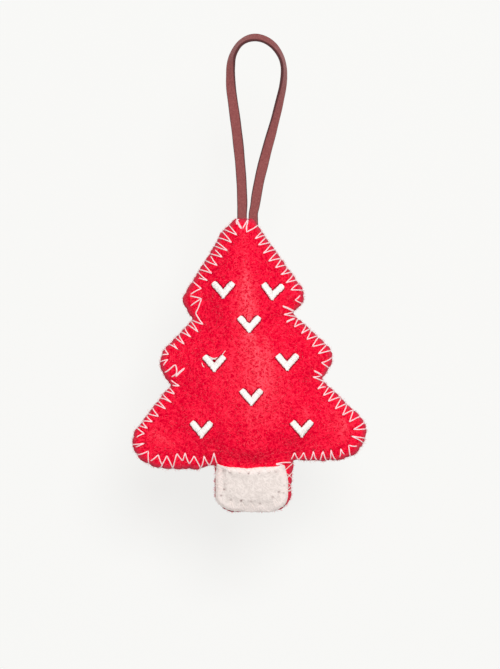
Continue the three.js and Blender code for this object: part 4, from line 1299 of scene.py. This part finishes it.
# %% The patch's underside, its rounded rim, and the piece
PATCH_LIFT = 0.03  # between the patch and the red felt
under = between(inmost, patch_middle, (0.9, 0.0))
under_height = front_top(np.concatenate(under)).reshape(2, -1) + PATCH_LIFT
edge_on = front_top(patch_edge) + PATCH_LIFT
patch_rings = list(zip(under, under_height))
patch_rings += [(patch_ring(i), edge_on + h) for i, h in ((0.5, 0.0), (0.12, 0.12), (0.0, 0.45))]
for turn in np.radians([20, 45, 70]):
    rise = PATCH_THICK + border_over(patch_edge, 0.0) - 0.75 * (1 - math.sin(turn))
    patch_rings.append((patch_ring(0.75 * (1 - math.cos(turn))), edge_on + rise))
patch_rings += list(zip(patch_flat, patch_height.reshape(-1, patch_count)))
flat, height = (np.array(values) for values in zip(*patch_rings))
points = stand_up(flat, -height).reshape(-1, 3)
grid = np.arange(len(points)).reshape(height.shape)
faces = [ring_quads(grid)[:, ::-1], grid[:1], grid[-1:, ::-1]]
# Light is painted on the raised border, lighter than the greyer middle, and shade is painted into
# the pits.
border = 1 - smooth_step(np.linalg.norm(flat - patch_edge, axis=-1).ravel(), 1.8, 3.2)
pit_shade = bells_at(points[:, ::2], pits, PIT_DEPTHS, 0.42)
patch = make_piece(
    "pale_patch", points, faces, PALE_FELT, "pale_felt", cut=border, hole=pit_shade
)
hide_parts("trunk_patch")
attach(patch, "tree")

# %% [markdown]
# ## What the floss lies on
#
# The stitches at the trunk go over the patch, the others over the red felt. A shrinkwrap could
# lay them on both, but it would fold them at the patch's rim. So the height that a strand follows
# is the higher of the two, with a soft step at the patch's edge.


# %% Inside and outside a closed line
def is_inside(points, line):
    """True where a ray to the right of the point crosses the closed line an odd number of times."""
    a, b = line, np.roll(line, -1, 0)
    rise = np.where(b[:, 1] == a[:, 1], 1e-6, b[:, 1] - a[:, 1])

    def odd(block):
        x, z = block[:, None, 0], block[:, None, 1]
        crosses = (a[None, :, 1] > z) != (b[None, :, 1] > z)
        at = a[:, 0] + (z - a[:, 1]) * (b[:, 0] - a[:, 0]) / rise
        return (crosses & (x < at)).sum(1) % 2 == 1

    return in_blocks(odd, points, 4000)


# %% Height under the floss
def outside_patch(points):
    """How far points are outside the patch, less than nothing inside it."""
    coarse = patch_edge[::2]
    off = to_segment(points, coarse, np.roll(coarse, -1, 0)).min(1)
    return np.where(is_inside(points, patch_edge), -off, off)


def top_under_floss(points):
    """The front's outer face, with the patch where it is."""
    near = points[:, 1] < patch_edge[:, 1].max() + 2
    step = np.zeros(len(points))
    if near.any():
        off = outside_patch(points[near])
        rise = PATCH_THICK + border_over(points[near], -off)
        step[near] = rise * (1 - smooth_step(off, -0.4, 0.35))
    return front_top(points) + step


# %% [markdown]
# ## Floss strands
#
# A strand is a soft two-ply floss: its section has two lobes and turns as it goes, so highlights
# run round it in a fine rope pattern. A curve with a bevel would be round and smooth, so the
# strands are swept here. All strands of one thread are carried along at once.

# %% Strands from paths
FLOSS = 0.25
LOBES = 0.15


def strands(name, paths, aways, radius, material, slot, pitch=1.9, sides=8):
    """Sweeps r = r0 (1 + 0.15 cos 2(angle - turn)), where turn grows along it, round each path."""
    s = along_path(paths)
    ends = np.minimum(s, s[:, -1:] - s)
    taper = np.sqrt(np.clip(ends / (1.2 * radius), 0.12, 1))
    turn = 2 * math.pi * s / pitch
    lobed = 1 + LOBES * np.cos(2 * (section_angles(sides) - turn[..., None]))
    r = radius * lobed * taper[..., None]
    points, faces = sweep(paths, aways, r[..., None] * circle(sides))
    return make_piece(name, points, faces, material, slot)


def straight(start, end, shares):
    """Points at shares of the straight way from each start to each end, (lines, shares, 2)."""
    return start[:, None] + (end - start)[:, None] * shares[None, :, None]


# %% [markdown]
# ## The zigzag over the edge
#
# Each leg comes up through its front hole, runs over the felt to the edge, goes round both cut
# edges, and runs down the back into a hole half a stitch on. One long thread would have to be
# woven through every hole, and nobody would see the inside of it. So each leg is a strand of its
# own, with its ends hidden in the felt.

# %% Where each leg runs on the front
T_FRONT = np.linspace(0, 1, 15)
leg_count = len(flat_ends)
out_dir = outward[edge_index]
edge_spots = np.where(through[:, None], flat_ends, edge[edge_index] + out_dir * 0.22)
on_trunk = outside_patch(leg_starts) < 0.5
leg_run = T_FRONT * np.linalg.norm(flat_ends - leg_starts, axis=1)[:, None]
above = np.where(on_trunk, 0.05, 0.2)[:, None] - 0.75 * np.exp(-((leg_run / 0.55) ** 2))
bend = np.sin(T_FRONT * math.pi)[None, :, None] * rng.normal(0, 0.12, (leg_count, 1, 2))
front_spots = straight(leg_starts, edge_spots, T_FRONT) + bend
front_run, front_off = over_face(top_under_floss, front_spots[:, :-2], -1, above[:, :-2])
print("legs:", leg_count, "of these on the trunk:", int(on_trunk.sum()))

# %% Where it runs on the back
T_BACK = np.linspace(0, 1, 10)[1:]
back_spots = straight(edge_spots, leg_back, T_BACK)
back_run, back_off = over_face(back_top, back_spots[:, 1:], 1, 0.2)
back_run[:, -1] -= back_off[:, -1] * 0.75

# %% Round the rim
# On each side of the seam, -1 in front, the shares of the rim's height that the leg passes
ROUND_RIM = ((-1, 0.9), (-1, 0.55), (-1, 0.1), (1, 0.1), (1, 0.55), (1, 0.9))
rim_top = swell(outline - 0.2 * outward)[edge_index] + FELT_THICK - 0.5 * pulled[edge_index]
rim_top = np.where(through, front_top(edge_spots) - 0.2, rim_top)
over_patch = 1 - smooth_step(outside_patch(edge_spots), 0.3, 0.9)
on_patch_rim = (PATCH_THICK + border_over(edge_spots, 0.0)) * over_patch
rim_run, rim_off = [], []
for side, share in ROUND_RIM:
    bulge = math.sqrt(1 - share**2)
    height = rim_top + (on_patch_rim if side < 0 else 0)
    spot = edge_spots - out_dir * (np.where(through, 0.1, 0.75) * (1 - bulge))[:, None]
    rim_run.append(stand_up(spot, side * height * share))
    rim_off.append(unit(stand_up(out_dir * bulge, np.full(leg_count, side * share))))
print("rim height in mm:", rim_top.min().round(2), rim_top.max().round(2))

# %% Even, soft paths of all the legs
LEG_POINTS = 34
paths = np.concatenate([front_run, np.stack(rim_run, 1), back_run], 1)
aways = np.concatenate([front_off, np.stack(rim_off, 1), back_off], 1)
s = along_path(paths)
s = s / s[:, -1:]


def evened(values):
    """Values along each leg, read at even shares of its length."""
    at = np.linspace(0, 1, LEG_POINTS)
    read = [[np.interp(at, x, v) for v in leg.T] for x, leg in zip(s, values)]
    return np.array(read).transpose(0, 2, 1)


leg_paths, leg_aways = evened(paths), unit(evened(aways))
for _ in range(2):
    leg_paths[:, 1:-1] = (leg_paths[:, :-2] + 2 * leg_paths[:, 1:-1] + leg_paths[:, 2:]) / 4

# %% The zigzag of the felts, and the finer one of the trunk
edge_floss = strands(
    "edge_floss_zigzag", leg_paths[~on_trunk], leg_aways[~on_trunk], FLOSS, EDGE_FLOSS, "edge_floss"
)
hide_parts("edge_thread")
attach(edge_floss, "tree")
trunk_floss = strands(
    "trunk_floss_zigzag", leg_paths[on_trunk], leg_aways[on_trunk], 0.16, PATCH_FLOSS, "edge_floss"
)
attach(trunk_floss, "tree")

# %% Knots and stray strands
STRAY_POINTS = 18
stray_spots = np.array([resample(from_photo(px), count=STRAY_POINTS) for px in STRAYS_PX])
stray_lift = 0.25 + 0.15 * np.sin(np.linspace(0, math.pi, STRAY_POINTS))
stray_lift[[0, -1]] = -0.4
stray_paths, stray_away = over_face(top_under_floss, stray_spots, -1, stray_lift)
strays = strands("edge_floss_strays", stray_paths, stray_away, 0.26, EDGE_FLOSS, "edge_floss")
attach(strays, "tree")

# %% The patch's own stitches, over its upper edge
T_PATCH = np.linspace(0, 1, 14)
patch_tops = from_photo(PATCH_TOP_PX)
turns = (patch_tops[1:] + patch_tops[:-1]) / 2
turns[:, 1] = np.interp(turns[:, 0], patch_line[:8, 0], patch_line[:8, 1]) + 0.1
starts = np.concatenate([patch_tops[:-1], patch_tops[1:]])
patch_legs = straight(starts, np.concatenate([turns, turns]), T_PATCH)
lift = 0.08 - 0.6 * np.exp(-((T_PATCH / 0.12) ** 2)) - 0.5 * np.exp(-(((1 - T_PATCH) / 0.1) ** 2))
floss_paths, floss_away = over_face(top_under_floss, patch_legs, -1, lift)
patch_floss = strands(
    "patch_floss_zigzag", floss_paths, floss_away, 0.2, PATCH_FLOSS, "patch_floss"
)
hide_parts("patch_thread")
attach(patch_floss, "tree")

# %% [markdown]
# ## Chevrons in satin stitch
#
# Satin stitch lays many threads side by side across a shape. One padded shape with a stripe of
# bump would look like it from afar, but the jagged edge of real threads shows here. So each arm
# of a chevron gets a row of threads square to the arm, cut short at the mitre. Each thread arches
# over the felt and ends a little differently.

# %% Chevron places in photograph pixels, x and y of the lowest vertex, and tilt
CHEVRONS = {
    "chevron_top_left": (223.6, 299.3, 0), "chevron_top_right": (271.8, 301, -5),
    "chevron_upper_middle": (249.2, 333.4, 0), "chevron_middle_left": (214.8, 372.2, 0),
    "chevron_middle_right": (286.7, 371.1, 0), "chevron_lower_middle": (251.3, 405.5, 0),
    "chevron_bottom_left": (202, 437.5, 0), "chevron_bottom_right": (301.1, 436.7, 0),
}
ARM = np.array([3.9, 4.45])  # how far an arm spreads and rises
ARM_BAND = 2.6
THREAD = 0.2
THREADS_PER_ARM = 23
arm_length = np.linalg.norm(ARM)
thread_ends = []


# %% One chevron
def arm_threads(side, draw):
    """Both ends of each thread of one arm, seen from the chevron's inner corner, (threads, 2, 2).

    Square to the arm each thread runs from the notch side to the outer side. Near the point it
    starts a little past the middle line, so that the two arms close up there. Bell curves along
    the arm shorten the threads at both of its ends.
    """
    way = ARM / arm_length * [side, 1]
    square = np.array([ARM[1] * side, -ARM[0]]) / arm_length
    point = ARM_BAND / 2 * ARM[1] / ARM[0]
    t = np.linspace(0.1 - point, arm_length - 0.1, THREADS_PER_ARM)
    start = np.maximum(-ARM_BAND / 2, -t * ARM[0] / ARM[1] - 0.35)
    start = start + draw.normal(0, 0.06, THREADS_PER_ARM)
    end = np.maximum(ARM_BAND / 2, start + 0.3) + draw.normal(0, 0.07, THREADS_PER_ARM)
    rounding = 0.28 * np.exp(-((t[-1] - t) / 0.3) ** 2)
    end = end - rounding - 0.5 * np.exp(-((t - t[0]) / 0.45) ** 2)
    row = way * (t + draw.normal(0, 0.03, THREADS_PER_ARM))[:, None]
    return np.stack([row + square * (start + rounding)[:, None], row + square * end[:, None]], 1)


def chevron(name, x, y, tilt, seed):
    """A chevron's threads, on both arms, as one piece. Each arches by a flattened half circle."""
    draw = np.random.default_rng(seed)
    turn = math.radians(tilt)
    spin = np.array([[math.cos(turn), math.sin(turn)], [-math.sin(turn), math.cos(turn)]])
    mitre = ARM_BAND / 2 * arm_length / ARM[0]
    ends = np.concatenate([arm_threads(side, draw) for side in (-1, 1)])
    ends = ends @ spin + from_photo((x, y)) + [0, mitre]
    thread_ends.append((ends + unit(ends - ends[:, ::-1]) * 0.18).reshape(-1, 2))
    u = np.linspace(0, 1, 11)
    arch = 0.75 * np.sqrt(np.clip(1 - (2 * u - 1) ** 2, 0, 1)) ** 0.7 - 0.15
    lift = arch[None] + draw.normal(0, 0.05, (len(ends), 1))
    run, off = over_face(front_top, straight(ends[:, 0], ends[:, 1], u), -1, lift)
    return strands(
        name + "_satin", run, off, THREAD, SATIN_FLOSS, "satin_floss", pitch=1.6, sides=7
    )


for seed, (name, (x, y, tilt)) in enumerate(CHEVRONS.items()):
    satin = chevron(name, x, y, tilt, seed + 20)
    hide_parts(name)
    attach(satin, "tree")

# %% [markdown]
# ## Needle holes and loose ends
#
# Each satin thread goes down into its own needle hole, so a row of dark holes outlines a chevron.
# Cutting real holes into the felt would need a far finer mesh. So the shade in each hole is painted
# on a tiny dark peg set into the felt. The middle left chevron was sewn less neatly: a hole shows
# between its arms, closed over by threads, and two loose ends stand off it.


# %% Needle holes round the chevrons
def bits_of_felt(name, paths, away, radius, sides, material):
    """Sweeps a plain round section along paths, as a piece that rides with the tree."""
    points, faces = sweep(paths, away, radius * circle(sides))
    piece = make_piece(name, points, faces, material, "red_felt")
    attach(piece, "tree")


def needle_holes(name, spots, radius, top):
    """A short eight-sided peg at each spot, from under the felt's face up to a height over it."""
    # The pegs are painted shade, a dark colour where the holes lie in shade.
    lift = np.array([-0.4, -0.1, top])
    paths, _ = over_face(front_top, np.repeat(spots[:, None], 3, 1), -1, lift)
    away = np.broadcast_to([1.0, 0, 0], paths.shape)
    bits_of_felt(name, paths, away, radius, 8, HOLE_SHADE)


needle_holes("chevron_needle_hole_shade", np.concatenate(thread_ends), 0.26, 0.1)
needle_holes("crossed_needle_hole_shade", from_photo([(214.6, 360.6), (215.0, 360.1)]), 0.34, 1.0)

# %% Loose ends on the middle left chevron
LOOSE_PX = [
    [(222.8, 354.6), (224.2, 352.6), (225.8, 350.6)],
    [(202.3, 362.6), (203.2, 364.8), (204.6, 367.2)],
    [(210.0, 357.6), (213.3, 358.8), (218.2, 357.4)],
    [(211.0, 358.7), (213.3, 359.6), (217.2, 358.7)],
    [(209.4, 356.2), (213.0, 358.1), (216.4, 358.3)],
]
LOOSE_LIFT = np.array([0.35, 0.22, 0.7, 0.75, 0.8])
LOOSE_POINTS = 14
loose_spots = np.array([resample(from_photo(px), count=LOOSE_POINTS) for px in LOOSE_PX])
loose_lift = LOOSE_LIFT[:, None] + 0.1 - 0.3 * np.linspace(-1, 1, LOOSE_POINTS) ** 2
loose_paths, loose_away = over_face(front_top, loose_spots, -1, loose_lift)
loose = strands("satin_loose_ends", loose_paths, loose_away, 0.12, SATIN_FLOSS, "satin_floss")
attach(loose, "tree")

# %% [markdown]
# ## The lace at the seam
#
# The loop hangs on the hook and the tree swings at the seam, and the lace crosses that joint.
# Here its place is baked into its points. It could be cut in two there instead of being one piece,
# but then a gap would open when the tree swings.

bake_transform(lace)

# %% [markdown]
# ## Fuzz
#
# Felt and its cut edges are furred with loose fibres. A hair system could grow them, but these
# are few and have to be real faces. Each is a short bent fibre with three sides, spread at random
# inside the outline or along the rims.

# %% Fuzz on the faces
FUZZ_STEPS = np.linspace(0, 1, 6)


def fuzz(name, face, sign, count, seed):
    """Short bent fibres: each runs along the felt and lifts off it, from a random spot inside."""
    draw = np.random.default_rng(seed)
    spots = draw.uniform(outline.min(0), outline.max(0), (count * 3, 2))
    spots = spots[is_inside(spots, outline)][:count]
    if sign < 0:
        spots = spots[outside_patch(spots) > 0.3]
    n = (len(spots), 1)
    heading = draw.uniform(0, 2 * math.pi, n) + draw.normal(0, 1.1, n) * FUZZ_STEPS
    step = draw.uniform(0.5, 1.5, n) / 5
    run = np.cumsum(np.stack([np.cos(heading), np.sin(heading)], -1) * step[..., None], 1)
    lift = draw.uniform(0.04, 0.16, n) * np.sin(FUZZ_STEPS * math.pi)[None] * 1.6 - 0.02
    paths, away = over_face(face, spots[:, None] + run, sign, lift)
    bits_of_felt(name, paths, away, 0.028, 3, RED_FUZZ)


# %% Fuzz on the cut edges
def edge_fuzz(count, seed):
    """Short bent fibres that stand out from the cut edges, from random places along both rims."""
    draw = np.random.default_rng(seed)
    at = draw.integers(0, COUNT, count)
    n = (count, 1)
    lean = draw.normal(0, 0.7, n) + draw.normal(0, 0.8, n) * FUZZ_STEPS
    along = np.stack([-outward[at, 1], outward[at, 0]], -1)
    way = np.cos(lean)[..., None] * outward[at, None] + np.sin(lean)[..., None] * along[:, None]
    reach = draw.uniform(0.35, 1.05, n) * FUZZ_STEPS
    flat = (edge[at] - 0.15 * outward[at])[:, None] + way * reach[..., None]
    start = draw.choice([-1, 1], n) * draw.uniform(0.4, FELT_THICK, n)
    paths = stand_up(flat, start + draw.normal(0, 0.3, n) * FUZZ_STEPS)
    bits_of_felt("edge_fuzz", paths, np.broadcast_to(FRONT, paths.shape), 0.03, 3, RED_FUZZ)


edge_fuzz(2600, 5)
fuzz("front_fuzz", front_top, -1, 4500, 3)
fuzz("back_fuzz", back_top, 1, 4500, 4)

# %% [markdown]
# ## Backdrop and light
#
# The ornament hangs before a plain pale wall, far enough from it to swing back. One large lamp in
# front, above and a little to the right gives soft shade, and an even pale world fills the rest.
# The wall is partly lit by these and partly plain for the camera, so that it stays even and keeps
# a soft shadow. It can be seen only from its front, and the camera sees the same pale colour
# beyond it.

# %% Backdrop
PALE = linear(247, 247, 245)
WALL_Y, WALL_REACH = 0.135, 3.0
PLAIN_SHARE = 0.88


def seen_rays(tree):
    """One for rays that show the backdrop: camera rays, and those by way of a mirror or glass."""
    rays = node(tree, "ShaderNodeLightPath").outputs
    through = math_node(tree, "MAXIMUM", rays["Is Glossy Ray"], rays["Is Transmission Ray"])
    return math_node(tree, "MAXIMUM", rays["Is Camera Ray"], through)


wall_mesh = bpy.data.meshes.new("wall")
WALL_CORNERS = ((-1, -1), (1, -1), (1, 1), (-1, 1))
wall_corners = [(x * WALL_REACH, WALL_Y, z * WALL_REACH) for x, z in WALL_CORNERS]
wall_mesh.from_pydata(wall_corners, [], [(0, 1, 2, 3)])
wall = bpy.data.objects.new("wall", wall_mesh)
bpy.context.scene.collection.objects.link(wall)
wall_finish, tree, shader = new_material(
    "pale wall", Roughness=1.0, Specular_IOR_Level=0.0, Base_Color=PALE
)
plain = node(tree, "ShaderNodeEmission", Color=PALE, Strength=1.0)
share = math_node(tree, "MULTIPLY", seen_rays(tree), PLAIN_SHARE)
both = node(tree, "ShaderNodeMixShader", n0=share, n1=shader.outputs[0], n2=plain.outputs[0])
clear = node(tree, "ShaderNodeBsdfTransparent")
behind_wall = node(tree, "ShaderNodeNewGeometry").outputs["Backfacing"]
one_sided = node(
    tree, "ShaderNodeMixShader", n0=behind_wall, n1=both.outputs[0], n2=clear.outputs[0]
)
tree.links.new(one_sided.outputs[0], tree.nodes["Material Output"].inputs[0])
wall_mesh.materials.append(wall_finish)

# %% World
world = bpy.data.worlds.new("world")
bpy.context.scene.world = world
world.use_nodes = True
sky = world.node_tree
backing = sky.nodes["Background"]
backing.inputs["Color"].default_value = (1, 1, 1, 1)
backing.inputs["Strength"].default_value = 0.2
seen = node(sky, "ShaderNodeBackground", Color=PALE, Strength=1.0)
either = node(
    sky, "ShaderNodeMixShader", n0=seen_rays(sky), n1=backing.outputs[0], n2=seen.outputs[0]
)
sky.links.new(either.outputs[0], sky.nodes["World Output"].inputs[0])

# %% Lamp
LAMP_AIM = np.array([0.0, 0.0, -0.11])
key = bpy.data.objects.new("soft light", bpy.data.lights.new("soft light", "AREA"))
key.data.shape = "DISK"
key.data.size = 0.6
key.data.energy = 47.6
key.location = (0.2, -2.1, 0.32)
aim = LAMP_AIM - np.array(key.location)
tilt = math.acos(-aim[2] / np.linalg.norm(aim))
key.rotation_euler = (tilt, 0, math.atan2(aim[1], aim[0]) - math.pi / 2)
bpy.context.scene.collection.objects.link(key)

view = bpy.context.scene.view_settings
view.view_transform = "Standard"
print("lamp tilt in degrees:", round(math.degrees(tilt), 1))
